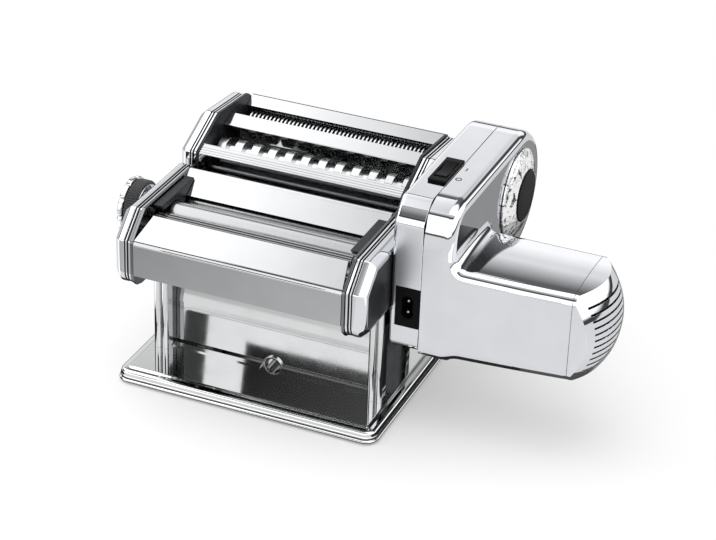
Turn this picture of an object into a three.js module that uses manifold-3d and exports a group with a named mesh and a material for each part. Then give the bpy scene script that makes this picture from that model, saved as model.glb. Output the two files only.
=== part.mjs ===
// Electric pasta maker: stand, smooth rollers, cutter attachment and clip-on motor.
// Units are millimetres. X runs along the rollers towards the motor, Y towards the cutters, Z up.
// The origin is on the ground, under the middle of the base.

import * as THREE from 'three';
import { mergeVertices } from 'three/addons/utils/BufferGeometryUtils.js';
import Module from 'manifold-3d';

const wasm = await Module();
wasm.setup();

const TURN = 2 * Math.PI;
const DEGREE = TURN / 360;

// Clearances shared by all pieces
const seatGap = 0.3;
const runningGap = 0.4;
const cutOverrun = 2;

// Sheet steel
const sheetThickness = 1;
const sidePlateThickness = 2;

// Base: a pressed pan on four rubber feet
const base = {
  sideReach: 22.5,
  depth: 140,
  height: 9.5,
  cornerRadius: 10,
  groundClearance: 1.5,
  wall: 1.6,
  beadDepth: 1.2,
  topRound: 3.2,
};
const foot = {
  radius: 9,
  edgeInset: 17,
  lipHeight: 2.5,
  lipRadius: 10.5,
};

// Side plates: the roller frame above, the stand below
const headOutline = {
  frontY: -81.5,
  bendZ: 123,
  shoulderY: -62.5,
  topZ: 140.5,
  rearY: 16,
  bottomZ: 85.5,
  cornerRadius: 13,
  bendRadius: 3,
};
const stand = {
  frontY: -31,
  rearY: 24,
  legDepth: 8,
  legWidth: 11.5,
  ridgeDepth: 2.4,
};

// Moulded end covers of the head
const cover = {
  depth: 14,
  wall: 2.2,
  rim: 0.9,
  bevelDepth: 5.5,
  bevelInset: 5.2,
};

// Bent sheet covers and dough plates
const frontCover = {
  lowZ: 97.5,
  topY: -61,
  topZ: 134,
  lipWidth: 13,
  lipDrop: 2.4,
  hemThickness: 2,
};
const doughPlate = {
  topY: 6,
  topZ: 141.6,
  lowY: -14.5,
  lowZ: 130.6,
  backDrop: 14,
};
const rearCover = {
  lowZ: 92,
  topZ: 124,
  returnDepth: 5,
};
const frontPanel = {
  faceY: -17,
  foldZ: 45.5,
  topY: -9.5,
  topZ: 96,
  flange: 7,
  flangeRise: 2.5,
};
const clampHole = {
  radius: 6,
  rim: 1.6,
  depth: 16,
};

// Smooth rollers
const roller = {
  length: 150,
  endGap: 2.5,
  radius: 12.5,
  shaftRadius: 4.5,
  frontY: -33.4,
  frontZ: 121.5,
  widestGap: 4.8,
  travel: 4.2,
  tilt: 8 * DEGREE,
  bushRadius: 7,
};

// Adjusting knob on the left end
const knob = {
  axisY: -24,
  axisZ: 118.5,
  radius: 21,
  depth: 13,
  faceDepth: 3.5,
  neckRadius: 14,
  neckLength: 3,
  shaftRadius: 3.2,
  notches: 10,
  notchDepth: 1,
  knurls: 26,
  knurlDepth: 0.7,
  range: 270 * DEGREE,
  dwell: 22 * DEGREE,
  camRadius: 11,
  camDepth: 2.2,
  pull: 4,
};

// Carrier of the rear roller's left shaft end
const carrier = {
  thickness: 1.4,
  eyeRadius: 7,
  endRadius: 4,
  pinRadius: 2,
};

// Dough fences at both ends of the smooth rollers
const fence = {
  thickness: 7,
  topZ: 139,
  frontY: -48,
  rearY: -2,
  lean: 4,
  tipAngle: 16 * DEGREE,
};

// Scrapers and tie rods
const scraper = {
  lean: 25 * DEGREE,
  reach: 5,
  drop: 7,
};
const tieRods = {
  radius: 3,
  frontY: -70,
  frontZ: 98,
  rearY: 6,
  rearZ: 98,
  cutterReach: 46.5,
  cutterRise: -12.5,
};

// Hooks of the cutter attachment, which hang on a rod behind the dough plate
const hanger = {
  rodRadius: 2.5,
  rodY: 12.6,
  rodZ: 128.5,
  hookThickness: 1.7,
  hookWidth: 2.2,
  tipDrop: 1,
  rootReach: 5.5,
  footDrop: 16.5,
  footHeight: 6,
};

// Cutter attachment: reaches are measured from its front face, rises from the rod that it hangs on.
const cutterGap = 2.2;
const cutterOutline = {
  shoulderRise: 19.5,
  crestReach: 35.5,
  crestRise: 36,
  backTopReach: 82.5,
  backTopRise: 32,
  backReach: 92.5,
  backRise: 24.5,
  backLowRise: -4.5,
  bottomRise: -18.5,
  cornerRadius: 8,
};
const cutter = {
  hoodClearance: 1.8,
  wideRise: 7,
  pairRoom: 5.3,
  narrowRise: 10,
  axisSpacing: 18,
  shaftRadius: 3.5,
  ringMargin: 6,
};

// One kind of cutter roller for each pasta width: discs of one roller run in the grooves of the other.
const wideRings = { tip: 11, root: 6.6, pitch: 13, side: 0.5, facets: 9 };
const narrowRings = { tip: 10.4, root: 7.2, pitch: 4.4, side: 0.4, facets: 7 };
const cutterBeam = {
  faceReach: 0.5,
  lowRise: 2.5,
  bendRise: 18.5,
  topReach: 8.5,
  topRise: 22.1,
  shelfReach: 15,
  shelfRise: 19.3,
  ribs: 3,
  ribHeight: 0.8,
  ribWidth: 1.2,
};
const cutterGuide = {
  ridgeLead: 17.7,
  ridgeRise: 24.6,
  backLead: 4.2,
  backRise: 28.2,
  lowLead: 13,
  lowRise: 13,
};
const cutterBackPlate = {
  clearance: 2.6,
  topRise: 28.9,
  depth: 9.6,
  lowRise: 23.4,
  drop: 24,
};
const comb = {
  thickness: 1.6,
  bar: 4,
  endLength: 3,
  tipGap: 0.5,
};

// Motor unit
const motor = {
  standOff: 0.5,
  leftWidth: 21.7,
  rightWidth: 21.5,
  barrelLength: 83.5,
  capLength: 24,
  caseDepth: 179,
  frontY: -36,
  bottomZ: 62,
  headRoom: 23.5,
  bellyRise: 19.5,
  bellyDepth: 78,
  bellyEnd: 128,
  bevel: 13.5,
  cornerRadius: 8,
  wall: 2.5,
  barrelDepth: 72,
  barrelHeight: 70.5,
  barrelRadius: 11,
  leftEdge: 2.4,
  rightEdge: 5,
  draftBack: 2,
  draftRise: 4,
  vents: 8,
  ventWidth: 2,
  ventSpacing: 6.6,
  ventInset: 7,
  ventDepth: 17,
  footInset: 8,
  footLength: 14,
  footDepth: 12,
  footDrop: 3,
};
const medallion = {
  inset: 5,
  rise: 3.5,
  radius: 33,
  height: 6.5,
  badgeRadius: 19,
  badgeHeight: 1.6,
};
const socket = {
  width: 17.4,
  height: 30,
  depth: 13,
  seamInset: 9,
  centreZ: 96,
  mouthWidth: 9,
  mouthDepth: 10.5,
  mouthWaist: 30 * DEGREE,
  pinRadius: 1.2,
  pinSpacing: 8.6,
  pinLength: 8.5,
};
const rocker = {
  seamInset: 7,
  centreY: 21,
  bezelWidth: 13.2,
  bezelLength: 37,
  bezelHeight: 2,
  flangeLap: 1.2,
  bodyDepth: 9.5,
  keyWidth: 8.6,
  keyRadius: 12,
  keyDepth: 3.7,
  keyDip: 2.2,
  keyRise: 3.6,
  pivotDrop: 1,
  recessDepth: 6.5,
};

// Shares of the length or angle that they are taken from
const leastCornerShare = 0.25;
const toothRootShare = 0.3;
const toothTipShare = 0.11;
const addendumShare = 0.85;
const dedendumShare = 1.15;
const ridgeShare = 0.94;
const bladeShare = 0.12;
const fullRoundShare = 0.998;
const softEdgeShare = 0.3;
const domeShares = [[0, 0], [0.4, 0.06], [0.72, 0.22], [0.92, 0.47], [1, 0.76]];

// Toothed wheels: module and tooth counts
const rollerWheel = { teeth: 12, toothRise: 2.4, toothDepth: 2.9, width: 6, standOff: 1.4 };
const driveWheel = { teeth: 16, pinionTeeth: 12, module: 1.5, width: 5, angle: -40 * DEGREE };
const cutterWheel = { teeth: 10, width: 4.5 };
const reduction = {
  first: { module: 2.3, pinionTeeth: 8, wheelTeeth: 30 },
  second: { module: 2.5, pinionTeeth: 8, wheelTeeth: 24 },
  third: { module: 1.5, pinionTeeth: 12, wheelTeeth: 18 },
  secondShaftAngle: 26 * DEGREE,
  faceWidth: 4,
  layerGap: 1.2,
  shaftRadius: 2.5,
  outputRadius: 4,
};
const driveHub = { radius: 6.2, socketRadius: 4.2, socketDepth: 8 };
const motorPin = { radius: 3, length: 6, frontY: -28, frontZ: 127, rearY: 2, rearZ: 97 };
const armature = {
  coreRadius: 17,
  statorBore: 18.5,
  shaftRadius: 2.5,
  statorInset: 8.5,
  statorLength: 50,
  coreInset: 4,
  collectorRadius: 9,
  collectorLength: 14,
  fanRadius: 26,
  fanGap: 3,
  fanWidth: 7,
  fanBlades: 7,
  tailLength: 3,
};

// Values worked out from the driving dimensions
const baseTopZ = base.groundClearance + base.height;
const innerHalfWidth = roller.length / 2 + roller.endGap;
const baseWidth = 2 * (innerHalfWidth + base.sideReach);
const plateOuterX = innerHalfWidth + sidePlateThickness;
const coverInnerX = plateOuterX + seatGap;
const coverOuterX = coverInnerX + cover.depth;
const coverCavityX = coverOuterX - cover.wall;
const barrelOuterX = innerHalfWidth - seatGap;

// The rear roller slides away from the front one along a line that is tilted by roller.tilt.
const slideY = -Math.cos(roller.tilt);
const slideZ = Math.sin(roller.tilt);
const widestSpacing = 2 * roller.radius + roller.widestGap;
const closestSpacing = widestSpacing - roller.travel;
const rearRoller = {
  y: roller.frontY - widestSpacing * slideY,
  z: roller.frontZ - widestSpacing * slideZ,
};
const rearRollerClosed = {
  y: roller.frontY - closestSpacing * slideY,
  z: roller.frontZ - closestSpacing * slideZ,
};
const driveSpacing = driveWheel.module * (driveWheel.teeth + driveWheel.pinionTeeth) / 2;
const drive = {
  y: roller.frontY + driveSpacing * Math.cos(driveWheel.angle),
  z: roller.frontZ + driveSpacing * Math.sin(driveWheel.angle),
};
const bushOuterX = plateOuterX + sheetThickness;
const driveFromX = plateOuterX + rollerWheel.standOff;
const driveToX = driveFromX + driveWheel.width;

// On the left end, outwards from the side plate: roller wheels, carrier, cam, knob
const wheelInnerX = plateOuterX + rollerWheel.standOff;
const wheelOuterX = wheelInnerX + rollerWheel.width;
const carrierInnerX = wheelOuterX + runningGap;
const carrierOuterX = carrierInnerX + carrier.thickness;
const camInnerX = carrierOuterX + runningGap;
const camOuterX = camInnerX + knob.camDepth;
const camLowRadius = knob.camRadius - roller.travel;
const pinReach = camLowRadius + carrier.pinRadius + seatGap;
const pinPlace = { y: knob.axisY + pinReach * slideY, z: knob.axisZ + pinReach * slideZ };
const knobNeckX = coverOuterX + seatGap;
const knobBodyX = knobNeckX + knob.neckLength;
const knobFaceX = knobBodyX + knob.depth;

// Cutter axes: the second roller of a pair lies behind the first
const cutterFrontY = headOutline.rearY + seatGap + cutterGap;
const cutterY = (reach) => cutterFrontY + reach;
const cutterZ = (rise) => hanger.rodZ + rise;
const wideFrontY = cutterY(cutterBeam.faceReach + sheetThickness + cutter.hoodClearance + wideRings.tip);
const wideRearY = wideFrontY + cutter.axisSpacing;
const narrowFrontY = wideRearY + wideRings.tip + cutter.pairRoom + narrowRings.tip;
const narrowRearY = narrowFrontY + cutter.axisSpacing;
const cutterAxes = {
  wideFront: { y: wideFrontY, z: cutterZ(cutter.wideRise) },
  wideRear: { y: wideRearY, z: cutterZ(cutter.wideRise) },
  narrowFront: { y: narrowFrontY, z: cutterZ(cutter.narrowRise) },
  narrowRear: { y: narrowRearY, z: cutterZ(cutter.narrowRise) },
};

// Planes of the motor unit across X
const motorLeftX = coverOuterX + motor.standOff;
const seamX = motorLeftX + motor.leftWidth;
const caseRightX = seamX + motor.rightWidth;
const barrelEndX = caseRightX + motor.barrelLength;
const capEndX = barrelEndX + motor.capLength;
const statorFromX = caseRightX + armature.statorInset;
const statorToX = statorFromX + armature.statorLength;

// The motor's axis lies in the middle of the barrel.
const barrelRearY = motor.frontY + motor.barrelDepth;
const barrelTopZ = motor.bottomZ + motor.barrelHeight;
const motorAxis = {
  y: (motor.frontY + barrelRearY) / 2,
  z: (motor.bottomZ + barrelTopZ) / 2,
};

// The reduction: three pairs of wheels in three layers between the seam and the case's right wall
const stageSpacing = ({ module, pinionTeeth, wheelTeeth }) => module * (pinionTeeth + wheelTeeth) / 2;
const layerPitch = reduction.faceWidth + reduction.layerGap;
const thirdLayerX = seamX + reduction.layerGap;
const secondLayerX = thirdLayerX + layerPitch;
const firstLayerX = secondLayerX + layerPitch;
const secondShaft = {
  y: drive.y + stageSpacing(reduction.third) * Math.cos(reduction.secondShaftAngle),
  z: drive.z + stageSpacing(reduction.third) * Math.sin(reduction.secondShaftAngle),
};
const firstShaft = meetingPlace(
  motorAxis, stageSpacing(reduction.first), secondShaft, stageSpacing(reduction.second),
);

// The case's top keeps its room above the second wheel, and its rear end is a half round.
const secondWheelTip = reduction.second.module * (reduction.second.wheelTeeth / 2 + addendumShare);
const caseTopZ = secondShaft.z + secondWheelTip + motor.headRoom;
const roundLowZ = motor.bottomZ + motor.bellyRise;
const roundRadius = (caseTopZ - roundLowZ) / 2;
const caseRearY = motor.frontY + motor.caseDepth;
const medallionPlace = {
  y: caseRearY - roundRadius - medallion.inset,
  z: roundLowZ + roundRadius + medallion.rise,
};
const socketX = seamX - socket.seamInset;
const rockerX = seamX - rocker.seamInset;

// Looks
function look(color, roughness, metalness) {
  return new THREE.MeshStandardMaterial({ color, roughness, metalness });
}

const looks = {
  chrome: () => look(0xd8dade, 0.12, 1),
  steel: () => look(0xc4c6ca, 0.28, 1),
  chromedPlastic: () => look(0xd2d4d8, 0.16, 0.9),
  darkPlastic: () => look(0x2a2b2e, 0.5, 0),
  blackPlastic: () => look(0x101113, 0.35, 0),
  rubber: () => look(0x1b1b1c, 0.85, 0),
  nylon: () => look(0xdedbd0, 0.5, 0),
  copper: () => look(0xb0683c, 0.4, 1),
};

// Outlines

// Rounds the corners of a closed outline, each given as [first, second, radius, steps].
function roundedOutline(corners) {
  const points = [];
  corners.forEach(([u, v, radius = 0, steps = 3], index) => {
    const here = new THREE.Vector2(u, v);
    if (radius <= 0) {
      points.push([u, v]);
      return;
    }
    const before = corners[(index + corners.length - 1) % corners.length];
    const after = corners[(index + 1) % corners.length];
    const toBefore = new THREE.Vector2(before[0] - u, before[1] - v).normalize();
    const toAfter = new THREE.Vector2(after[0] - u, after[1] - v).normalize();
    const halfAngle = Math.acos(toBefore.dot(toAfter)) / 2;
    const centre = toBefore.clone().add(toAfter).normalize()
      .multiplyScalar(radius / Math.sin(halfAngle)).add(here);
    const start = toBefore.clone().multiplyScalar(radius / Math.tan(halfAngle)).add(here).sub(centre);
    const turn = Math.sign(toAfter.cross(toBefore)) * (Math.PI - 2 * halfAngle);
    for (let step = 0; step <= steps; step += 1) {
      const spoke = start.clone().rotateAround(new THREE.Vector2(), turn * step / steps);
      points.push([centre.x + spoke.x, centre.y + spoke.y]);
    }
  });
  return points;
}

// Moves each side of a counter-clockwise outline inwards and shrinks its corner radii with it.
function insetCorners(corners, distance) {
  return corners.map(([u, v, radius = 0, steps = 3], index) => {
    const before = corners[(index + corners.length - 1) % corners.length];
    const after = corners[(index + 1) % corners.length];
    const sideIn = new THREE.Vector2(u - before[0], v - before[1]).normalize();
    const sideOut = new THREE.Vector2(after[0] - u, after[1] - v).normalize();
    const normalIn = new THREE.Vector2(-sideIn.y, sideIn.x);
    const normalOut = new THREE.Vector2(-sideOut.y, sideOut.x);
    const mitre = normalIn.clone().add(normalOut).normalize();
    const reach = distance / mitre.dot(normalIn);
    const bend = Math.sign(sideIn.cross(sideOut));
    const softened = radius > 0 ? Math.max(radius - bend * distance, radius * leastCornerShare) : 0;
    return [u + mitre.x * reach, v + mitre.y * reach, softened, steps];
  });
}

function rectangleCorners(lowU, lowV, highU, highV, radius) {
  return [
    [lowU, lowV, radius],
    [highU, lowV, radius],
    [highU, highV, radius],
    [lowU, highV, radius],
  ];
}

function arc(centreU, centreV, radius, fromAngle, toAngle, steps) {
  const points = [];
  for (let step = 0; step <= steps; step += 1) {
    const angle = fromAngle + (toAngle - fromAngle) * step / steps;
    points.push([centreU + radius * Math.cos(angle), centreV + radius * Math.sin(angle)]);
  }
  return points;
}

// A strip of sheet: the outer line, then the same line moved to the other face.
function sheetOutline(line, thickness) {
  const back = line.map((point, index) => {
    const before = line[Math.max(index - 1, 0)];
    const after = line[Math.min(index + 1, line.length - 1)];
    const sideIn = new THREE.Vector2(point[0] - before[0], point[1] - before[1]);
    const sideOut = new THREE.Vector2(after[0] - point[0], after[1] - point[1]);
    const first = sideIn.lengthSq() > 0 ? sideIn.normalize() : sideOut.clone().normalize();
    const second = sideOut.lengthSq() > 0 ? sideOut.normalize() : first.clone();
    const normal = new THREE.Vector2(-first.y - second.y, first.x + second.x).normalize();
    const reach = thickness / normal.dot(new THREE.Vector2(-first.y, first.x));
    return [point[0] + normal.x * reach, point[1] + normal.y * reach];
  });
  return [...line, ...back.reverse()];
}

// Solids
const alongX = new THREE.Matrix4().makeBasis(
  new THREE.Vector3(0, 1, 0),
  new THREE.Vector3(0, 0, 1),
  new THREE.Vector3(1, 0, 0),
);
const alongY = new THREE.Matrix4().makeBasis(
  new THREE.Vector3(0, 0, 1),
  new THREE.Vector3(1, 0, 0),
  new THREE.Vector3(0, 1, 0),
);

// Joins equal points and leaves out the flat triangles that a turned body has on its axis.
function welded(geometry) {
  const bare = geometry.index ? geometry.toNonIndexed() : geometry.clone();
  bare.deleteAttribute('normal');
  bare.deleteAttribute('uv');
  const merged = mergeVertices(bare);
  const corners = merged.index.array;
  const kept = [];
  for (let index = 0; index < corners.length; index += 3) {
    const [a, b, c] = corners.slice(index, index + 3);
    if (a !== b && b !== c && c !== a) {
      kept.push(a, b, c);
    }
  }
  merged.setIndex(kept);
  return merged;
}

function signedVolume(geometry) {
  const points = geometry.attributes.position;
  const corners = geometry.index.array;
  const a = new THREE.Vector3();
  const b = new THREE.Vector3();
  const c = new THREE.Vector3();
  let volume = 0;
  for (let index = 0; index < corners.length; index += 3) {
    a.fromBufferAttribute(points, corners[index]);
    b.fromBufferAttribute(points, corners[index + 1]);
    c.fromBufferAttribute(points, corners[index + 2]);
    volume += a.dot(b.cross(c));
  }
  return volume;
}

function facingOut(geometry) {
  const closed = welded(geometry);
  if (signedVolume(closed) < 0) {
    const corners = closed.index.array;
    for (let index = 0; index < corners.length; index += 3) {
      [corners[index], corners[index + 1]] = [corners[index + 1], corners[index]];
    }
  }
  return closed;
}

function solid(geometry) {
  const closed = facingOut(geometry);
  return new wasm.Manifold(new wasm.Mesh({
    numProp: 3,
    vertProperties: new Float32Array(closed.attributes.position.array),
    triVerts: new Uint32Array(closed.index.array),
  }));
}

function geometryOf(manifold) {
  const mesh = manifold.getMesh();
  const geometry = new THREE.BufferGeometry();
  geometry.setAttribute('position', new THREE.BufferAttribute(new Float32Array(mesh.vertProperties), 3));
  geometry.setIndex(new THREE.BufferAttribute(new Uint32Array(mesh.triVerts), 1));
  return geometry;
}

function extrude(outline, from, to, basis) {
  const shape = new THREE.Shape(outline.map(([u, v]) => new THREE.Vector2(u, v)));
  const geometry = new THREE.ExtrudeGeometry(shape, { depth: to - from, bevelEnabled: false });
  geometry.translate(0, 0, from);
  return basis ? geometry.applyMatrix4(basis) : geometry;
}

// The outline is in Y and Z for prismX, in Z and X for prismY and in X and Y for prismZ.
const prismX = (outline, from, to) => extrude(outline, from, to, alongX);
const prismY = (outline, from, to) => extrude(outline, from, to, alongY);
const prismZ = (outline, from, to) => extrude(outline, from, to);

// A body through a row of sections that have the same number of points.
function loft(sections, basis) {
  const count = sections[0].outline.length;
  const positions = [];
  const corners = [];
  sections.forEach(({ at, outline }) => {
    outline.forEach(([u, v]) => positions.push(u, v, at));
  });
  for (let section = 0; section + 1 < sections.length; section += 1) {
    for (let point = 0; point < count; point += 1) {
      const next = (point + 1) % count;
      const low = section * count;
      const high = low + count;
      corners.push(low + point, low + next, high + next);
      corners.push(low + point, high + next, high + point);
    }
  }
  [0, sections.length - 1].forEach((section) => {
    const flat = sections[section].outline.map(([u, v]) => new THREE.Vector2(u, v));
    THREE.ShapeUtils.triangulateShape(flat, []).forEach(([a, b, c]) => {
      const [second, third] = section === 0 ? [c, b] : [b, c];
      const first = section * count;
      corners.push(first + a, first + second, first + third);
    });
  });
  const geometry = new THREE.BufferGeometry();
  geometry.setAttribute('position', new THREE.Float32BufferAttribute(positions, 3));
  geometry.setIndex(corners);
  return basis ? geometry.applyMatrix4(basis) : geometry;
}

const loftX = (sections) => loft(sections, alongX);

// A loft along X whose sections are one outline at a row of insets, each given as [x, inset].
function insetLoftX(corners, stations) {
  return loftX(stations.map(([at, distance]) => (
    { at, outline: roundedOutline(insetCorners(corners, distance)) }
  )));
}

// A turned body about an axis along X, its profile given as [x, radius].
function turnedX(profile, y, z, segments) {
  const points = profile.map(([x, radius]) => new THREE.Vector2(radius, x));
  const geometry = new THREE.LatheGeometry(points, segments);
  geometry.rotateZ(-TURN / 4);
  geometry.translate(0, y, z);
  return geometry;
}

function turnedZ(profile, x, y, segments) {
  const points = profile.map(([z, radius]) => new THREE.Vector2(radius, z));
  const geometry = new THREE.LatheGeometry(points, segments);
  geometry.rotateX(TURN / 4);
  geometry.translate(x, y, 0);
  return geometry;
}

function rodX(radius, from, to, y, z, segments = 12) {
  return turnedX([[from, 0], [from, radius], [to, radius], [to, 0]], y, z, segments);
}

function block(lowX, lowY, lowZ, highX, highY, highZ) {
  const geometry = new THREE.BoxGeometry(highX - lowX, highY - lowY, highZ - lowZ);
  geometry.translate((lowX + highX) / 2, (lowY + highY) / 2, (lowZ + highZ) / 2);
  return geometry;
}

const cut = (geometry, ...tools) => geometryOf(
  tools.reduce((rest, tool) => rest.subtract(solid(tool)), solid(geometry)),
);
const join = (geometry, ...others) => geometryOf(
  others.reduce((whole, other) => whole.add(solid(other)), solid(geometry)),
);

// Mirrors a piece of the right side to the left side.
function mirrored(geometry) {
  return geometry.clone().scale(-1, 1, 1);
}

// Toothed wheels

// A wheel's outline: one tooth points along the given angle, measured from Y towards Z.
function wheelOutline({ teeth, pitchRadius, addendum, dedendum }, y, z, toothAngle) {
  const pitch = TURN / teeth;
  const tip = pitchRadius + addendum;
  const root = pitchRadius - dedendum;
  const points = [];
  for (let tooth = 0; tooth < teeth; tooth += 1) {
    const middle = toothAngle + tooth * pitch;
    [
      [root, -toothRootShare],
      [tip, -toothTipShare],
      [tip, toothTipShare],
      [root, toothRootShare],
    ].forEach(([radius, share]) => {
      const angle = middle + share * pitch;
      points.push([y + radius * Math.cos(angle), z + radius * Math.sin(angle)]);
    });
  }
  return points;
}

// The tooth angle of a wheel that meshes with another: its gap meets the other's tooth.
function meshedAngle(towards, teeth, otherAngle, otherTeeth) {
  return towards + Math.PI + Math.PI / teeth - (otherAngle - towards) * otherTeeth / teeth;
}

// Base and feet
function baseCorners() {
  return rectangleCorners(
    -baseWidth / 2, -base.depth / 2, baseWidth / 2, base.depth / 2, base.cornerRadius,
  );
}

function panSections(stations) {
  return loft(stations.map(([at, distance]) => (
    { at, outline: roundedOutline(insetCorners(baseCorners(), distance)) }
  )));
}

function basePlate() {
  const low = base.groundClearance;
  const beadZ = low + base.beadDepth * 2;
  const outer = panSections([
    [low, base.beadDepth / 2],
    [low + base.beadDepth / 2, 0],
    [low + base.beadDepth, 0],
    [beadZ, base.beadDepth],
    [baseTopZ - base.topRound, base.beadDepth],
    [baseTopZ - base.topRound / 3, base.beadDepth + base.topRound / 3],
    [baseTopZ, base.beadDepth + base.topRound],
  ]);
  const hollow = panSections([
    [low - cutOverrun, base.beadDepth + base.wall],
    [baseTopZ - base.topRound, base.beadDepth + base.wall],
    [baseTopZ - base.wall, base.beadDepth + base.wall + base.topRound],
  ]);
  return cut(outer, hollow);
}

function rubberFoot(sideX, sideY) {
  return turnedZ([
    [0, 0],
    [0, foot.radius],
    [foot.lipHeight, foot.lipRadius],
    [baseTopZ - base.wall - seatGap, foot.lipRadius],
    [baseTopZ - base.wall - seatGap, 0],
  ], sideX * (baseWidth / 2 - foot.edgeInset), sideY * (base.depth / 2 - foot.edgeInset), 14);
}

// Side plates and legs
function headCorners() {
  const { frontY, bendZ, shoulderY, topZ, rearY, bottomZ, cornerRadius, bendRadius } = headOutline;
  return [
    [rearY, bottomZ, bendRadius],
    [rearY, topZ, bendRadius],
    [shoulderY, topZ, bendRadius],
    [frontY, bendZ, bendRadius],
    [frontY, bottomZ, cornerRadius],
  ];
}

function sidePlateCorners() {
  const { frontY, bendZ, shoulderY, topZ, rearY, bottomZ, cornerRadius, bendRadius } = headOutline;
  const legFront = stand.frontY + stand.legDepth;
  return [
    [legFront, baseTopZ, 0],
    [rearY, baseTopZ, 0],
    [rearY, topZ, bendRadius],
    [shoulderY, topZ, bendRadius],
    [frontY, bendZ, bendRadius],
    [frontY, bottomZ, cornerRadius],
    [legFront, bottomZ, 0],
  ];
}

// The slot that the rear roller's shaft slides in when the gap is set.
function rearShaftSlot(radius, from, to) {
  const rearward = -roller.tilt;
  const outline = [
    ...arc(rearRoller.y, rearRoller.z, radius, rearward - TURN / 4, rearward + TURN / 4, 8),
    ...arc(rearRollerClosed.y, rearRollerClosed.z, radius, rearward + TURN / 4, rearward + TURN * 3 / 4, 8),
  ];
  return prismX(outline, from, to);
}

function sidePlate() {
  const from = innerHalfWidth - cutOverrun;
  const to = plateOuterX + cutOverrun;
  return cut(
    prismX(roundedOutline(sidePlateCorners()), innerHalfWidth, plateOuterX),
    rodX(roller.shaftRadius + runningGap, from, to, roller.frontY, roller.frontZ),
    rearShaftSlot(roller.bushRadius + runningGap, from, to),
  );
}

// A leg has two rounded ridges along its face.
function leg(faceY, inwards) {
  const from = innerHalfWidth;
  const ridgeWidth = stand.legWidth / 2;
  const backY = faceY + inwards * stand.legDepth;
  const ridgeY = faceY + inwards * stand.ridgeDepth;
  const ridges = [0, 1].flatMap((ridge) => {
    const middle = from + ridgeWidth * (ridge + 1 / 2);
    return arc(0, 0, 1, TURN / 2, 0, 6).map(([across, out]) => (
      [middle + across * ridgeWidth / 2 * ridgeShare, ridgeY - inwards * out * stand.ridgeDepth]
    ));
  });
  const outline = [...ridges, [from + stand.legWidth, backY], [from, backY]];
  return prismZ(inwards > 0 ? outline.reverse() : outline, baseTopZ, headOutline.bottomZ);
}

// End covers of the head and of the cutter attachment
function coverShell(plateCorners) {
  const corners = insetCorners(plateCorners, cover.rim);
  const shell = insetLoftX(corners, [
    [coverInnerX, 0],
    [coverOuterX - cover.bevelDepth, 0],
    [coverOuterX - cover.bevelDepth / 2, cover.bevelInset / 4],
    [coverOuterX, cover.bevelInset],
  ]);
  const hollow = insetLoftX(corners, [
    [coverInnerX - cutOverrun, cover.wall],
    [coverOuterX - cover.bevelDepth, cover.wall],
    [coverCavityX, cover.wall + cover.bevelInset / 2],
  ]);
  return cut(shell, hollow);
}

function leftCover() {
  return cut(
    mirrored(coverShell(headCorners())),
    rodX(
      knob.shaftRadius + runningGap, -coverOuterX - cutOverrun, -coverCavityX + cutOverrun,
      knob.axisY, knob.axisZ,
    ),
  );
}

const motorPinPlaces = () => [[motorPin.frontY, motorPin.frontZ], [motorPin.rearY, motorPin.rearZ]];

// The right cover carries two pins that the motor is pushed onto.
function rightCover() {
  const from = coverCavityX - cutOverrun;
  const to = coverOuterX + cutOverrun;
  const pinFrom = coverOuterX - cover.wall / 2;
  const pins = motorPinPlaces().map(([y, z]) => (
    rodX(motorPin.radius, pinFrom, coverOuterX + motorPin.length, y, z)
  ));
  return cut(
    join(coverShell(headCorners()), ...pins),
    rodX(driveHub.radius + runningGap, from, to, drive.y, drive.z),
  );
}

// Sheet covers between the side plates
function sheetX(line) {
  return prismX(sheetOutline(line, -sheetThickness), -barrelOuterX, barrelOuterX);
}

function frontCoverSheet() {
  const { frontY, bendZ } = headOutline;
  const { lowZ, topY, topZ, lipWidth, lipDrop, hemThickness } = frontCover;
  return sheetX([
    [frontY, lowZ],
    [frontY, bendZ],
    [topY, topZ],
    [topY + hemThickness, topZ],
    [topY + hemThickness, topZ - sheetThickness],
    [topY + lipWidth, topZ - sheetThickness],
    [topY + lipWidth, topZ - sheetThickness - lipDrop],
  ]);
}

function doughPlateSheet() {
  const { lowY, lowZ, topY, topZ, backDrop } = doughPlate;
  return sheetX([
    [lowY, lowZ],
    [topY, topZ],
    [topY + sheetThickness, topZ - backDrop],
  ]);
}

function rearCoverSheet() {
  const faceY = headOutline.rearY - seatGap;
  return sheetX([
    [faceY - rearCover.returnDepth, rearCover.topZ],
    [faceY, rearCover.topZ],
    [faceY, rearCover.lowZ],
  ]);
}

// The lower front panel has a folded upper part, a foot flange and the arch for the table clamp.
function frontPanelSheet() {
  const { faceY, foldZ, topY, topZ, flange, flangeRise } = frontPanel;
  const floorZ = baseTopZ;
  const panel = prismX(sheetOutline([
    [faceY - flange, floorZ + sheetThickness],
    [faceY - flangeRise, floorZ + sheetThickness],
    [faceY, floorZ + flangeRise],
    [faceY, foldZ],
    [topY, topZ],
  ], -sheetThickness), -barrelOuterX, barrelOuterX);
  const archFrom = faceY - flange - cutOverrun;
  const archTo = faceY + clampHole.depth;
  const archOutline = (radius, low) => [
    [low, -radius],
    ...arc(baseTopZ, 0, radius, -TURN / 4, TURN / 4, 8),
    [low, radius],
  ];
  const { radius, rim } = clampHole;
  const sleeve = prismY(archOutline(radius + rim, baseTopZ - seatGap), faceY - rim, archTo);
  const bore = prismY(archOutline(radius, baseTopZ - cutOverrun), archFrom, archTo + cutOverrun);
  const floor = block(
    -innerHalfWidth, archFrom, baseTopZ - cutOverrun, innerHalfWidth, archTo + cutOverrun, baseTopZ,
  );
  return cut(join(panel, sleeve), bore, floor);
}

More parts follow.
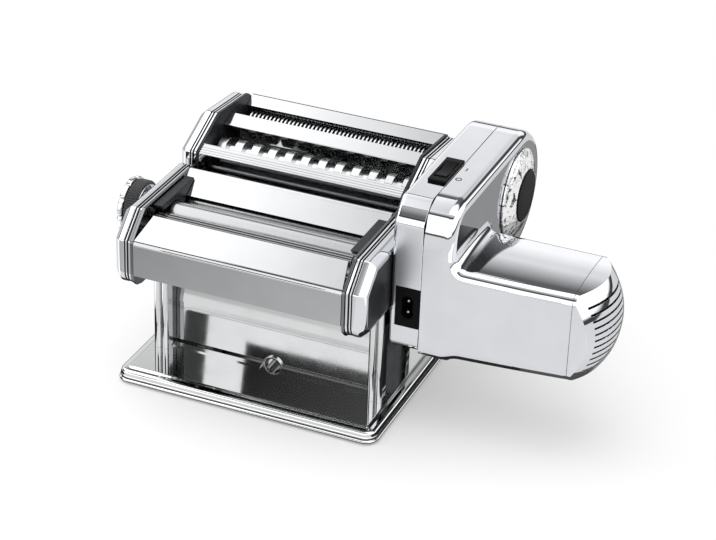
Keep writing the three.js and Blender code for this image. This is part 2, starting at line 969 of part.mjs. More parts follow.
// Dough fences follow both rollers down to the nip and stand on the sloping dough plate.
function fenceBlock() {
  const clearRadius = roller.radius + runningGap;
  const plateSlope = Math.atan2(doughPlate.topZ - doughPlate.lowZ, doughPlate.topY - doughPlate.lowY);
  const plateTop = (y) => doughPlate.lowZ + (y - doughPlate.lowY) * Math.tan(plateSlope) + 2 * seatGap;
  const frontArc = arc(roller.frontY, roller.frontZ, clearRadius, TURN / 4, fence.tipAngle, 5);
  const tipZ = frontArc[frontArc.length - 1][1];
  const rearSine = (tipZ - rearRollerClosed.z) / clearRadius;
  const edgeY = doughPlate.lowY - 2 * seatGap;
  const edgeCosine = (edgeY - rearRollerClosed.y) / clearRadius;
  const rearArc = arc(
    rearRollerClosed.y, rearRollerClosed.z, clearRadius,
    TURN / 2 - Math.asin(rearSine), Math.acos(edgeCosine), 4,
  );
  const outline = [
    [fence.frontY, roller.frontZ + clearRadius],
    ...frontArc,
    ...rearArc,
    [edgeY, plateTop(edgeY)],
    [fence.rearY, plateTop(fence.rearY)],
    [fence.rearY, fence.topZ],
    [fence.frontY - fence.lean, fence.topZ],
  ];
  const to = barrelOuterX;
  return prismX(outline, to - fence.thickness, to);
}

function scraperBlade() {
  const angle = -TURN / 4 - scraper.lean;
  const tipRadius = roller.radius + runningGap;
  const tipY = roller.frontY + tipRadius * Math.cos(angle);
  const tipZ = roller.frontZ + tipRadius * Math.sin(angle);
  return sheetX([
    [tipY - scraper.reach, tipZ - scraper.drop - scraper.reach],
    [tipY - scraper.reach, tipZ - scraper.drop],
    [tipY, tipZ],
  ]);
}

// Smooth rollers and what turns with them
function shaftedRoller(shaftFrom, shaftTo, y, z) {
  const half = roller.length / 2;
  return turnedX([
    [shaftFrom, 0],
    [shaftFrom, roller.shaftRadius],
    [-half, roller.shaftRadius],
    [-half, roller.radius],
    [half, roller.radius],
    [half, roller.shaftRadius],
    [shaftTo, roller.shaftRadius],
    [shaftTo, 0],
  ], y, z, 24);
}

// A wheel bored for its shaft.
function wheel(form, y, z, toothAngle, from, to, boreRadius) {
  return cut(
    prismX(wheelOutline(form, y, z, toothAngle), from, to),
    rodX(boreRadius + seatGap, from - cutOverrun, to + cutOverrun, y, z),
  );
}

function moduleForm(module, teeth) {
  return {
    teeth,
    pitchRadius: module * teeth / 2,
    addendum: module * addendumShare,
    dedendum: module * dedendumShare,
  };
}

const rollerForm = {
  teeth: rollerWheel.teeth,
  pitchRadius: closestSpacing / 2,
  addendum: rollerWheel.toothRise,
  dedendum: rollerWheel.toothDepth,
};

// The carrier holds the rear roller's shaft end; its pin rides on the cam.
function carrierPlate() {
  const along = Math.atan2(pinPlace.z - rearRoller.z, pinPlace.y - rearRoller.y);
  const outline = [
    ...arc(rearRoller.y, rearRoller.z, carrier.eyeRadius, along + TURN / 4, along + TURN * 3 / 4, 8),
    ...arc(pinPlace.y, pinPlace.z, carrier.endRadius, along - TURN / 4, along + TURN / 4, 6),
  ];
  const plate = prismX(outline, -carrierOuterX, -carrierInnerX);
  const pin = rodX(
    carrier.pinRadius, -camOuterX, -carrierInnerX - sheetThickness / 2, pinPlace.y, pinPlace.z,
  );
  const eye = rodX(
    roller.shaftRadius + seatGap, -carrierOuterX - cutOverrun, -carrierInnerX + cutOverrun,
    rearRoller.y, rearRoller.z,
  );
  return cut(join(plate, pin), eye);
}

function bush(from, to) {
  return turnedX([
    [from, roller.shaftRadius + seatGap],
    [from, roller.bushRadius],
    [to, roller.bushRadius],
    [to, roller.shaftRadius + seatGap],
    [from, roller.shaftRadius + seatGap],
  ], rearRoller.y, rearRoller.z, 12);
}

// The cam's radius grows evenly over the knob's range, so the gap closes evenly.
function camRadiusAt(angle) {
  const half = knob.dwell;
  if (angle < half) {
    return camLowRadius;
  }
  if (angle < half + knob.range) {
    return camLowRadius + roller.travel * (angle - half) / knob.range;
  }
  if (angle < 2 * half + knob.range) {
    return knob.camRadius;
  }
  const fall = (angle - 2 * half - knob.range) / (TURN - 2 * half - knob.range);
  return knob.camRadius - roller.travel * fall;
}

function knobShaft() {
  const pinAngle = Math.atan2(slideZ, slideY);
  const steps = 36;
  const outline = [];
  for (let step = 0; step < steps; step += 1) {
    const angle = TURN * step / steps;
    const radius = camRadiusAt(angle);
    const place = pinAngle + knob.dwell - angle;
    outline.push([knob.axisY + radius * Math.cos(place), knob.axisZ + radius * Math.sin(place)]);
  }
  const cam = prismX(outline.reverse(), -camOuterX, -camInnerX);
  const shaft = rodX(
    knob.shaftRadius, -knobFaceX + knob.faceDepth, -camOuterX + sheetThickness, knob.axisY, knob.axisZ,
  );
  return join(cam, shaft);
}

// The knob: a scalloped flange outside, a knurled grip and a neck that slides on the shaft.
function knobBody() {
  const grip = knob.radius - knob.notchDepth;
  const gripOutline = (radius, count, depth) => {
    const points = [];
    for (let step = 0; step < count * 2; step += 1) {
      const angle = TURN * step / (count * 2);
      const reach = radius - (step % 2) * depth;
      points.push([knob.axisY + reach * Math.cos(angle), knob.axisZ + reach * Math.sin(angle)]);
    }
    return points;
  };
  const scalloped = (radius) => gripOutline(radius, knob.notches, knob.notchDepth);
  const flangeX = knobFaceX - knob.faceDepth;
  const flange = loftX([
    { at: -knobFaceX, outline: scalloped(knob.radius - 2 * knob.notchDepth) },
    { at: -knobFaceX + knob.notchDepth, outline: scalloped(knob.radius) },
    { at: -flangeX, outline: scalloped(knob.radius) },
  ]);
  const knurled = prismX(gripOutline(grip, knob.knurls, knob.knurlDepth), -flangeX - seatGap, -knobBodyX);
  const neck = rodX(knob.neckRadius, -knobBodyX - seatGap, -knobNeckX, knob.axisY, knob.axisZ, 20);
  const bore = rodX(
    knob.shaftRadius + seatGap, -knobFaceX + knob.faceDepth - seatGap, -knobNeckX + cutOverrun,
    knob.axisY, knob.axisZ,
  );
  return cut(join(flange, knurled, neck), bore);
}

// The crank pinion in the right cover, with a six-sided socket for the motor's dog.
function drivePinion() {
  const form = moduleForm(driveWheel.module, driveWheel.pinionTeeth);
  const { angle, pinionTeeth, teeth } = driveWheel;
  const toothAngle = meshedAngle(angle, pinionTeeth, angle, teeth);
  const toothed = prismX(wheelOutline(form, drive.y, drive.z, toothAngle), driveFromX, driveToX);
  const hub = rodX(driveHub.radius, driveToX - seatGap, coverOuterX - seatGap, drive.y, drive.z, 18);
  return cut(join(toothed, hub), socketPocket(drive.y, drive.z));
}

function hexagonX(radius, from, to, y, z) {
  return prismX(arc(y, z, radius, 0, TURN * 5 / 6, 5), from, to);
}

function socketPocket(y, z) {
  return hexagonX(driveHub.socketRadius, coverOuterX - driveHub.socketDepth, coverOuterX + cutOverrun, y, z);
}

// Cutter attachment
function cutterCorners() {
  const {
    shoulderRise, crestReach, crestRise, backTopReach, backTopRise, backReach, backRise, backLowRise,
    bottomRise, cornerRadius,
  } = cutterOutline;
  const small = cornerRadius / 2;
  return [
    [cutterFrontY, cutterZ(bottomRise), small, 2],
    [cutterY(backTopReach), cutterZ(bottomRise), cornerRadius, 2],
    [cutterY(backReach), cutterZ(backLowRise), cornerRadius, 2],
    [cutterY(backReach), cutterZ(backRise), small, 1],
    [cutterY(backTopReach), cutterZ(backTopRise), small, 1],
    [cutterY(crestReach), cutterZ(crestRise), cornerRadius],
    [cutterFrontY, cutterZ(shoulderRise), small, 2],
  ];
}

// A side plate has a hook for the hanger rod and a foot that leans on the head's side plate.
function cutterSidePlate() {
  const { rodRadius, rodY, rodZ, hookThickness, hookWidth, tipDrop, footDrop, footHeight } = hanger;
  const rootY = cutterY(hanger.rootReach);
  const holes = Object.values(cutterAxes).map(({ y, z }) => (
    rodX(cutter.shaftRadius + runningGap, innerHalfWidth - cutOverrun, plateOuterX + cutOverrun, y, z, 9)
  ));
  const seat = rodRadius + seatGap;
  const tipZ = rodZ - rodRadius - tipDrop;
  const hook = prismX([
    ...arc(rodY, rodZ, seat, TURN / 2, 0, 6),
    [rodY + seat, tipZ],
    [rootY, tipZ - hookWidth],
    [rootY, rodZ],
    ...arc(rodY, rodZ, seat + hookWidth, TURN / 12, TURN / 2, 5),
    [rodY - seat - hookWidth, tipZ],
    [rodY - seat, tipZ],
  ], barrelOuterX - hookThickness, barrelOuterX);
  const root = block(
    barrelOuterX - hookThickness, cutterFrontY, tipZ - hookWidth / 2,
    plateOuterX, rootY, rodZ,
  );
  const foot = block(
    innerHalfWidth, headOutline.rearY + seatGap, rodZ - footDrop,
    plateOuterX, rootY, rodZ - footDrop + footHeight,
  );
  const plate = prismX(roundedOutline(cutterCorners()), innerHalfWidth, plateOuterX);
  return cut(join(plate, root, hook, foot), ...holes);
}

function cutterRightCover() {
  const holes = [cutterAxes.wideRear, cutterAxes.narrowRear].map(({ y, z }) => (
    rodX(driveHub.radius + runningGap, coverCavityX - cutOverrun, coverOuterX + cutOverrun, y, z)
  ));
  return cut(coverShell(cutterCorners()), ...holes);
}

const discCount = ({ pitch }) => Math.floor((roller.length - cutter.ringMargin) / pitch);

// Middle places of the discs: the second roller of a pair is half a pitch across and has one disc more.
function discPlaces(rings, second) {
  const count = discCount(rings) + (second ? 1 : 0);
  return Array.from({ length: count }, (_, index) => rings.pitch * (index - (count - 1) / 2));
}

function cutterRoller(rings, { y, z }, second) {
  const halfDisc = rings.pitch / 4 - rings.side / 2;
  const bodyEnd = rings.pitch * discCount(rings) / 2 + rings.pitch / 4;
  const shaftTo = second ? driveFromX + cutOverrun : plateOuterX + cutOverrun;
  const profile = [
    [-wheelInnerX - cutterWheel.width, 0],
    [-wheelInnerX - cutterWheel.width, cutter.shaftRadius],
    [-bodyEnd, cutter.shaftRadius],
    [-bodyEnd, rings.root],
  ];
  discPlaces(rings, second).forEach((middle) => {
    profile.push(
      [middle - halfDisc, rings.root],
      [middle - halfDisc, rings.tip],
      [middle + halfDisc, rings.tip],
      [middle + halfDisc, rings.root],
    );
  });
  profile.push(
    [bodyEnd, rings.root],
    [bodyEnd, cutter.shaftRadius],
    [shaftTo, cutter.shaftRadius],
    [shaftTo, 0],
  );
  const toothAngle = second ? meshedAngle(0, cutterWheel.teeth, 0, cutterWheel.teeth) : 0;
  const form = moduleForm(cutter.axisSpacing / cutterWheel.teeth, cutterWheel.teeth);
  const toothed = prismX(
    wheelOutline(form, y, z, toothAngle), -wheelInnerX - cutterWheel.width, -wheelInnerX,
  );
  const body = join(turnedX(profile, y, z, rings.facets), toothed);
  if (!second) {
    return body;
  }
  const hub = rodX(driveHub.radius, driveFromX, coverOuterX - seatGap, y, z);
  return cut(join(body, hub), socketPocket(y, z));
}

// A comb has a row of fingers under each roller of a pair, and each finger reaches into a groove.
function combRow(rings, { y, z }, second) {
  const fingers = discPlaces(rings, !second);
  const halfFinger = (rings.pitch / 2 + rings.side) / 2 - runningGap;
  const barTop = z - rings.tip - comb.tipGap;
  const fingerTop = z - rings.root - comb.tipGap;
  const end = barrelOuterX;
  const outline = [[barTop - comb.bar, -end], [barTop, -end]];
  fingers.filter((middle) => Math.abs(middle) < rings.pitch * discCount(rings) / 2).forEach((middle) => {
    outline.push([barTop, middle - halfFinger], [fingerTop, middle], [barTop, middle + halfFinger]);
  });
  outline.push([barTop, end], [barTop - comb.bar, end]);
  return prismY(outline.reverse(), y - comb.thickness / 2, y + comb.thickness / 2);
}

function combFrame(rings, front, rear) {
  const barTop = front.z - rings.tip - comb.tipGap;
  const ends = [-1, 1].map((side) => block(
    side > 0 ? barrelOuterX - comb.endLength : -barrelOuterX,
    front.y,
    barTop - comb.bar,
    side > 0 ? barrelOuterX : -barrelOuterX + comb.endLength,
    rear.y,
    barTop,
  ));
  return join(combRow(rings, front, false), combRow(rings, rear, true), ...ends);
}

// The ribbed hood in front of the wide cutters
function cutterHood() {
  const { faceReach, lowRise, bendRise, topReach, topRise, shelfReach, shelfRise } = cutterBeam;
  const { ribs, ribHeight, ribWidth } = cutterBeam;
  const hood = sheetX([
    [cutterY(faceReach), cutterZ(lowRise)],
    [cutterY(faceReach), cutterZ(bendRise)],
    [cutterY(topReach), cutterZ(topRise)],
    [cutterY(shelfReach), cutterZ(shelfRise)],
  ]);
  const ribSolids = Array.from({ length: ribs }, (_, index) => {
    const share = (index + 1) / (ribs + 1);
    const y = cutterY(faceReach + (topReach - faceReach) * share);
    const z = cutterZ(bendRise + (topRise - bendRise) * share);
    return prismX([
      [y - ribWidth / 2, z - ribHeight],
      [y + ribWidth / 2, z - ribHeight / 2],
      [y + ribWidth / 3, z + ribHeight],
      [y - ribWidth / 3, z + ribHeight],
    ], -barrelOuterX, barrelOuterX);
  });
  return join(hood, ...ribSolids);
}

// The guide's places are measured forwards from the first narrow cutter's axis.
function cutterMiddleGuide() {
  const { ridgeLead, ridgeRise, backLead, backRise, lowLead, lowRise } = cutterGuide;
  return prismX(roundedOutline([
    [narrowFrontY - lowLead, cutterZ(lowRise), 0],
    [narrowFrontY - lowLead + 2 * sheetThickness, cutterZ(lowRise), 0],
    [narrowFrontY - backLead, cutterZ(backRise), 0],
    [narrowFrontY - ridgeLead, cutterZ(ridgeRise), sheetThickness, 2],
  ]), -barrelOuterX, barrelOuterX);
}

function cutterBackSheet() {
  const { clearance, topRise, depth, lowRise, drop } = cutterBackPlate;
  const topY = narrowRearY + narrowRings.tip + clearance;
  const topZ = cutterZ(topRise);
  return sheetX([[topY - depth, cutterZ(lowRise)], [topY, topZ], [topY + sheetThickness, topZ - drop]]);
}

// Motor unit
function caseCorners() {
  const { frontY, bottomZ, bevel, cornerRadius, bellyDepth, bellyEnd } = motor;
  const roundCorner = roundRadius * fullRoundShare;
  return [
    [frontY, bottomZ, cornerRadius],
    [frontY + bellyDepth, bottomZ, cornerRadius],
    [frontY + bellyEnd, roundLowZ, cornerRadius, 1],
    [caseRearY, roundLowZ, roundCorner, 6],
    [caseRearY, caseTopZ, roundCorner, 6],
    [frontY + bevel, caseTopZ, cornerRadius],
    [frontY, caseTopZ - bevel, cornerRadius],
  ];
}

function barrelCorners(share) {
  return rectangleCorners(
    motor.frontY + motor.draftBack * share,
    motor.bottomZ + motor.draftRise * share,
    barrelRearY,
    barrelTopZ,
    motor.barrelRadius,
  );
}

function caseHollow(from, to) {
  return insetLoftX(caseCorners(), [[from, motor.wall], [to, motor.wall]]);
}

function leftShell() {
  const { leftEdge, wall, frontY } = motor;
  const shell = insetLoftX(caseCorners(), [
    [motorLeftX, leftEdge],
    [motorLeftX + leftEdge * softEdgeShare, leftEdge * softEdgeShare],
    [motorLeftX + leftEdge, 0],
    [seamX - seatGap / 2, 0],
  ]);
  const halfSocket = socket.width / 2 + seatGap;
  const halfHeight = socket.height / 2 + seatGap;
  const inletHole = block(
    socketX - halfSocket, frontY - cutOverrun, socket.centreZ - halfHeight,
    seamX + cutOverrun, frontY + wall + cutOverrun, socket.centreZ + halfHeight,
  );
  const halfBody = rocker.bezelWidth / 2 - rocker.flangeLap + seatGap;
  const halfLength = rocker.bezelLength / 2 - rocker.flangeLap + seatGap;
  const switchHole = block(
    rockerX - halfBody, rocker.centreY - halfLength, caseTopZ - wall - cutOverrun,
    rockerX + halfBody, rocker.centreY + halfLength, caseTopZ + cutOverrun,
  );
  const holeFrom = motorLeftX - cutOverrun;
  const holeTo = motorLeftX + wall + cutOverrun;
  const shaftHole = rodX(reduction.outputRadius + runningGap, holeFrom, holeTo, drive.y, drive.z);
  const pinHoles = motorPinPlaces().map(([y, z]) => (
    rodX(motorPin.radius + runningGap, holeFrom, holeTo, y, z)
  ));
  const hollow = caseHollow(motorLeftX + wall, seamX + cutOverrun);
  return cut(shell, hollow, inletHole, switchHole, shaftHole, ...pinHoles);
}

function motorBody() {
  const { frontY, bottomZ, rightEdge, wall, footInset, footLength, footDepth, footDrop } = motor;
  const shell = insetLoftX(caseCorners(), [
    [seamX + seatGap / 2, 0],
    [caseRightX - rightEdge, 0],
    [caseRightX - rightEdge * softEdgeShare, rightEdge * softEdgeShare],
    [caseRightX, rightEdge],
  ]);
  const barrelFrom = caseRightX - rightEdge - wall;
  const barrel = loftX([
    { at: barrelFrom, outline: roundedOutline(barrelCorners(0)) },
    { at: barrelEndX, outline: roundedOutline(barrelCorners(1)) },
  ]);
  const bore = loftX([
    { at: barrelFrom, outline: roundedOutline(insetCorners(barrelCorners(0), wall)) },
    { at: barrelEndX + cutOverrun, outline: roundedOutline(insetCorners(barrelCorners(1), wall)) },
  ]);
  const pad = block(
    seamX + footInset, frontY + footDrop, bottomZ - footDrop,
    seamX + footInset + footLength, frontY + footDrop + footDepth, bottomZ + wall / 2,
  );
  return cut(join(shell, barrel, pad), caseHollow(seamX - cutOverrun, caseRightX - wall), bore);
}

// The end cap is a shallow dome with a row of vent slits.
function endCap() {
  const from = barrelEndX + seatGap;
  const length = capEndX - from;
  const half = (motor.barrelHeight - motor.draftRise) / 2;
  const corners = barrelCorners(1);
  const stations = domeShares.map(([along, inward]) => [from + length * along, half * inward]);
  const hollowStations = stations.map(([at, distance], index) => (
    [index === 0 ? at - cutOverrun : at - motor.wall, distance + motor.wall]
  ));
  const middleZ = (motor.bottomZ + motor.draftRise + barrelTopZ) / 2;
  const slits = Array.from({ length: motor.vents }, (_, index) => {
    const z = middleZ + (index - (motor.vents - 1) / 2) * motor.ventSpacing;
    return block(
      capEndX - motor.ventDepth, motor.frontY + motor.draftBack + motor.ventInset, z - motor.ventWidth / 2,
      capEndX + cutOverrun, barrelRearY - motor.ventInset, z + motor.ventWidth / 2,
    );
  });
  return cut(insetLoftX(corners, stations), insetLoftX(corners, hollowStations), ...slits);
}

function medallionRing() {
  const from = caseRightX + seatGap;
  const inner = medallion.badgeRadius + seatGap;
  return turnedX([
    [from, inner],
    [from, medallion.radius],
    [from + sheetThickness, medallion.radius],
    [from + medallion.height, inner + sheetThickness],
    [from + medallion.height, inner],
    [from, inner],
  ], medallionPlace.y, medallionPlace.z, 24);
}

function medallionBadge() {
  const from = caseRightX + seatGap;
  const face = from + medallion.height;
  return turnedX([
    [from, 0],
    [from, medallion.badgeRadius],
    [face, medallion.badgeRadius],
    [face + medallion.badgeHeight, medallion.badgeRadius - medallion.badgeHeight],
    [face + medallion.badgeHeight, 0],
  ], medallionPlace.y, medallionPlace.z, 24);
}

function inletSocket() {
  const {
    width, height, depth, centreZ, mouthWidth, mouthDepth, mouthWaist, pinRadius, pinSpacing, pinLength,
  } = socket;
  const faceY = motor.frontY - seatGap;
  const housing = block(
    socketX - width / 2, faceY, centreZ - height / 2,
    socketX + width / 2, faceY + depth, centreZ + height / 2,
  );
  const quarter = TURN / 4 + mouthWaist;
  const halfMouth = (centre, middle) => (
    arc(centre, socketX, mouthWidth / 2, middle - quarter, middle + quarter, 8)
  );
  const mouth = prismY([
    ...halfMouth(centreZ + pinSpacing / 2, 0),
    ...halfMouth(centreZ - pinSpacing / 2, TURN / 2),
  ], faceY - cutOverrun, faceY + mouthDepth);
  const pins = [-1, 1].map((side) => prismY(
    arc(centreZ + side * pinSpacing / 2, socketX, pinRadius, 0, TURN * 9 / 10, 9),
    faceY + mouthDepth - pinLength,
    faceY + mouthDepth + seatGap,
  ));
  return join(cut(housing, mouth), ...pins);
}

function switchBezel() {
  const {
    centreY, bezelWidth, bezelLength, bezelHeight, flangeLap, bodyDepth, keyWidth, keyRadius,
    pivotDrop, recessDepth,
  } = rocker;
  const halfWidth = bezelWidth / 2;
  const halfLength = bezelLength / 2;
  const flange = block(
    rockerX - halfWidth, centreY - halfLength, caseTopZ,
    rockerX + halfWidth, centreY + halfLength, caseTopZ + bezelHeight,
  );
  const body = block(
    rockerX - halfWidth + flangeLap, centreY - halfLength + flangeLap, caseTopZ - bodyDepth,
    rockerX + halfWidth - flangeLap, centreY + halfLength - flangeLap, caseTopZ + seatGap,
  );
  const halfKey = keyWidth / 2 + runningGap;
  const reach = keyRadius + runningGap;
  const recess = block(
    rockerX - halfKey, centreY - reach, caseTopZ - pivotDrop - recessDepth,
    rockerX + halfKey, centreY + reach, caseTopZ + bezelHeight + cutOverrun,
  );
  return cut(join(flange, body), recess);
}

function rockerKey() {
  const pivotZ = caseTopZ - rocker.pivotDrop;
  const low = Math.asin(rocker.keyDepth / rocker.keyRadius);
  const high = Math.asin(rocker.keyRise / rocker.keyRadius);
  const outline = [
    ...arc(rocker.centreY, pivotZ, rocker.keyRadius, -low, high, 3),
    [rocker.centreY, pivotZ + rocker.keyDip],
    ...arc(rocker.centreY, pivotZ, rocker.keyRadius, TURN / 2 - high, TURN / 2 + low, 3),
  ];
  return prismX(outline, rockerX - rocker.keyWidth / 2, rockerX + rocker.keyWidth / 2);
}

// The place at given distances from two others, on the side towards +Y.
function meetingPlace(one, oneDistance, other, otherDistance) {
  const apartY = other.y - one.y;
  const apartZ = other.z - one.z;
  const apart = Math.hypot(apartY, apartZ);
  const along = (oneDistance ** 2 - otherDistance ** 2 + apart ** 2) / (2 * apart);
  const across = Math.sqrt(oneDistance ** 2 - along ** 2);
  return {
    y: one.y + (apartY * along + apartZ * across) / apart,
    z: one.z + (apartZ * along - apartY * across) / apart,
  };
}

const direction = (from, to) => Math.atan2(to.z - from.z, to.y - from.y);

function toothedX({ module }, teeth, { y, z }, toothAngle, layerX) {
  const outline = wheelOutline(moduleForm(module, teeth), y, z, toothAngle);
  return prismX(outline, layerX, layerX + reduction.faceWidth);
}

function outputShaft() {
  const { third, outputRadius } = reduction;
  const dog = hexagonX(
    driveHub.socketRadius - runningGap, coverOuterX - driveHub.socketDepth + runningGap, motorLeftX,
    drive.y, drive.z,
  );
  const shaft = rodX(
    outputRadius, motorLeftX - seatGap, thirdLayerX + reduction.faceWidth + seatGap, drive.y, drive.z,
  );
  const toothAngle = direction(drive, secondShaft);
  return join(dog, shaft, toothedX(third, third.wheelTeeth, drive, toothAngle, thirdLayerX));
}

function secondWheelCluster() {
  const { second, third, shaftRadius } = reduction;
  const towards = direction(drive, secondShaft);
  const pinionAngle = meshedAngle(towards, third.pinionTeeth, towards, third.wheelTeeth);
  return join(
    rodX(
      shaftRadius, motorLeftX + motor.wall + seatGap, secondLayerX + reduction.faceWidth + seatGap,
      secondShaft.y, secondShaft.z,
    ),
    toothedX(third, third.pinionTeeth, secondShaft, pinionAngle, thirdLayerX),
    toothedX(second, second.wheelTeeth, secondShaft, direction(secondShaft, firstShaft), secondLayerX),
  );
}

function firstWheelCluster() {
  const { first, second, shaftRadius } = reduction;
  const towards = direction(secondShaft, firstShaft);
  const pinionAngle = meshedAngle(towards, second.pinionTeeth, towards, second.wheelTeeth);
  return join(
    rodX(
      shaftRadius, motorLeftX + motor.wall + seatGap, caseRightX - motor.wall - seatGap,
      firstShaft.y, firstShaft.z,
    ),
    toothedX(second, second.pinionTeeth, firstShaft, pinionAngle, secondLayerX),
    toothedX(first, first.wheelTeeth, firstShaft, direction(firstShaft, motorAxis), firstLayerX),
  );
}

function motorArmature() {
  const { first } = reduction;
  const { coreRadius, shaftRadius, coreInset, collectorRadius, fanRadius, fanBlades } = armature;
  const { y, z } = motorAxis;
  const coreFromX = statorFromX + coreInset;
  const coreToX = statorToX - coreInset;
  const collectorToX = coreToX + armature.collectorLength;
  const fanFromX = collectorToX + armature.fanGap;
  const fanToX = fanFromX + armature.fanWidth;
  const endX = fanToX + armature.tailLength;
  const turned = turnedX([
    [firstLayerX, 0],
    [firstLayerX, shaftRadius],
    [coreFromX, shaftRadius],
    [coreFromX, coreRadius],
    [coreToX, coreRadius],
    [coreToX, collectorRadius],
    [collectorToX, collectorRadius],
    [collectorToX, shaftRadius],
    [endX, shaftRadius],
    [endX, 0],
  ], y, z, 14);
  const towards = direction(firstShaft, motorAxis);
  const pinionAngle = meshedAngle(towards, first.pinionTeeth, towards, first.wheelTeeth);
  const blades = Array.from({ length: fanBlades }, (_, index) => {
    const angle = TURN * index / fanBlades;
    const blade = block(
      fanFromX, 0, -fanRadius * bladeShare / 2, fanToX, fanRadius, fanRadius * bladeShare / 2,
    );
    return blade.rotateX(angle).translate(0, y, z);
  });
  const hub = rodX(collectorRadius, fanFromX, fanToX, y, z);
  const pinion = toothedX(first, first.pinionTeeth, motorAxis, pinionAngle, firstLayerX);
  return join(turned, pinion, hub, ...blades);
}

function motorStator() {
  const share = (statorToX - caseRightX) / motor.barrelLength;
  const corners = insetCorners(barrelCorners(share), motor.wall + runningGap);
  const { y, z } = motorAxis;
  return cut(
    prismX(roundedOutline(corners), statorFromX, statorToX),
    rodX(armature.statorBore, statorFromX - cutOverrun, statorToX + cutOverrun, y, z, 18),
  );
}

// Assembly
function place(group, name, geometry, material) {
  const mesh = new THREE.Mesh(facingOut(geometry), material);
  mesh.name = name;
  group.add(mesh);
}

function frameGroup() {
  const group = new THREE.Group();
  place(group, 'base_plate', basePlate(), looks.chrome());
  const feet = [['front_left', -1, -1], ['front_right', 1, -1], ['rear_left', -1, 1], ['rear_right', 1, 1]];
  feet.forEach(([name, sideX, sideY]) => {
    place(group, `foot_${name}`, rubberFoot(sideX, sideY), looks.rubber());
  });
  place(group, 'side_plate_right', sidePlate(), looks.steel());
  place(group, 'side_plate_left', mirrored(sidePlate()), looks.steel());
  [['front', stand.frontY, 1], ['rear', stand.rearY, -1]].forEach(([name, faceY, inwards]) => {
    place(group, `leg_${name}_right`, leg(faceY, inwards), looks.chrome());
    place(group, `leg_${name}_left`, mirrored(leg(faceY, inwards)), looks.chrome());
  });
  place(group, 'front_panel', frontPanelSheet(), looks.chrome());
  place(group, 'head_cover_left', leftCover(), looks.chromedPlastic());
  place(group, 'head_cover_right', rightCover(), looks.chromedPlastic());
  place(group, 'head_front_cover', frontCoverSheet(), looks.chrome());
  place(group, 'dough_plate', doughPlateSheet(), looks.chrome());
  place(group, 'head_rear_cover', rearCoverSheet(), looks.chrome());
  place(group, 'dough_fence_right', fenceBlock(), looks.darkPlastic());
  place(group, 'dough_fence_left', mirrored(fenceBlock()), looks.darkPlastic());
  place(group, 'roller_scraper', scraperBlade(), looks.steel());
  place(group, 'tie_rod_front', tieRod(tieRods.frontY, tieRods.frontZ), looks.steel());
  place(group, 'tie_rod_rear', tieRod(tieRods.rearY, tieRods.rearZ), looks.steel());
  place(group, 'hanger_rod', tieRod(hanger.rodY, hanger.rodZ, hanger.rodRadius), looks.steel());
  return group;
}

function tieRod(y, z, radius = tieRods.radius) {
  return rodX(radius, -innerHalfWidth, innerHalfWidth, y, z);
}

function cutterTieRod() {
  return tieRod(cutterY(tieRods.cutterReach), cutterZ(tieRods.cutterRise));
}

function headMechanism() {
  const group = new THREE.Group();
  const meshLine = -roller.tilt;
  const wheelBore = roller.shaftRadius;
  const driveForm = moduleForm(driveWheel.module, driveWheel.teeth);
  const rearAngle = meshedAngle(meshLine, rollerWheel.teeth, meshLine, rollerWheel.teeth);
  const { frontY, frontZ } = roller;
  const { y, z } = rearRoller;
  const frontWheel = wheel(rollerForm, frontY, frontZ, meshLine, -wheelOuterX, -wheelInnerX, wheelBore);
  const rearWheel = wheel(rollerForm, y, z, rearAngle, -wheelOuterX, -wheelInnerX, wheelBore);
  const crankWheel = wheel(driveForm, frontY, frontZ, driveWheel.angle, driveFromX, driveToX, wheelBore);
  place(group, 'roller_front', shaftedRoller(-wheelOuterX, driveToX, frontY, frontZ), looks.steel());
  place(group, 'roller_front_wheel', frontWheel, looks.nylon());
  place(group, 'roller_drive_wheel', crankWheel, looks.steel());
  place(group, 'roller_rear', shaftedRoller(-carrierOuterX, bushOuterX, y, z), looks.steel());
  place(group, 'roller_rear_wheel', rearWheel, looks.nylon());
  place(group, 'rear_carrier_left', carrierPlate(), looks.steel());
  place(group, 'rear_bush_right', bush(innerHalfWidth - seatGap, bushOuterX), looks.nylon());
  place(group, 'drive_pinion', drivePinion(), looks.steel());
  place(group, 'knob_shaft_cam', knobShaft(), looks.steel());
  place(group, 'adjusting_knob', knobBody(), looks.chromedPlastic());
  return group;
}

function cutterGroup() {
  const group = new THREE.Group();
  const { wideFront, wideRear, narrowFront, narrowRear } = cutterAxes;
  place(group, 'cutter_plate_right', cutterSidePlate(), looks.steel());
  place(group, 'cutter_plate_left', mirrored(cutterSidePlate()), looks.steel());
  place(group, 'cutter_cover_right', cutterRightCover(), looks.chromedPlastic());
  place(group, 'cutter_cover_left', mirrored(coverShell(cutterCorners())), looks.chromedPlastic());
  place(group, 'cutter_hood', cutterHood(), looks.chrome());
  place(group, 'cutter_guide', cutterMiddleGuide(), looks.chrome());
  place(group, 'cutter_back_plate', cutterBackSheet(), looks.chrome());
  place(group, 'cutter_tie_rod', cutterTieRod(), looks.steel());
  place(group, 'wide_cutter_front', cutterRoller(wideRings, wideFront, false), looks.steel());
  place(group, 'wide_cutter_rear', cutterRoller(wideRings, wideRear, true), looks.steel());
  place(group, 'narrow_cutter_front', cutterRoller(narrowRings, narrowFront, false), looks.steel());
  place(group, 'narrow_cutter_rear', cutterRoller(narrowRings, narrowRear, true), looks.steel());
  place(group, 'wide_comb', combFrame(wideRings, wideFront, wideRear), looks.nylon());
  place(group, 'narrow_comb', combFrame(narrowRings, narrowFront, narrowRear), looks.nylon());
  return group;
}

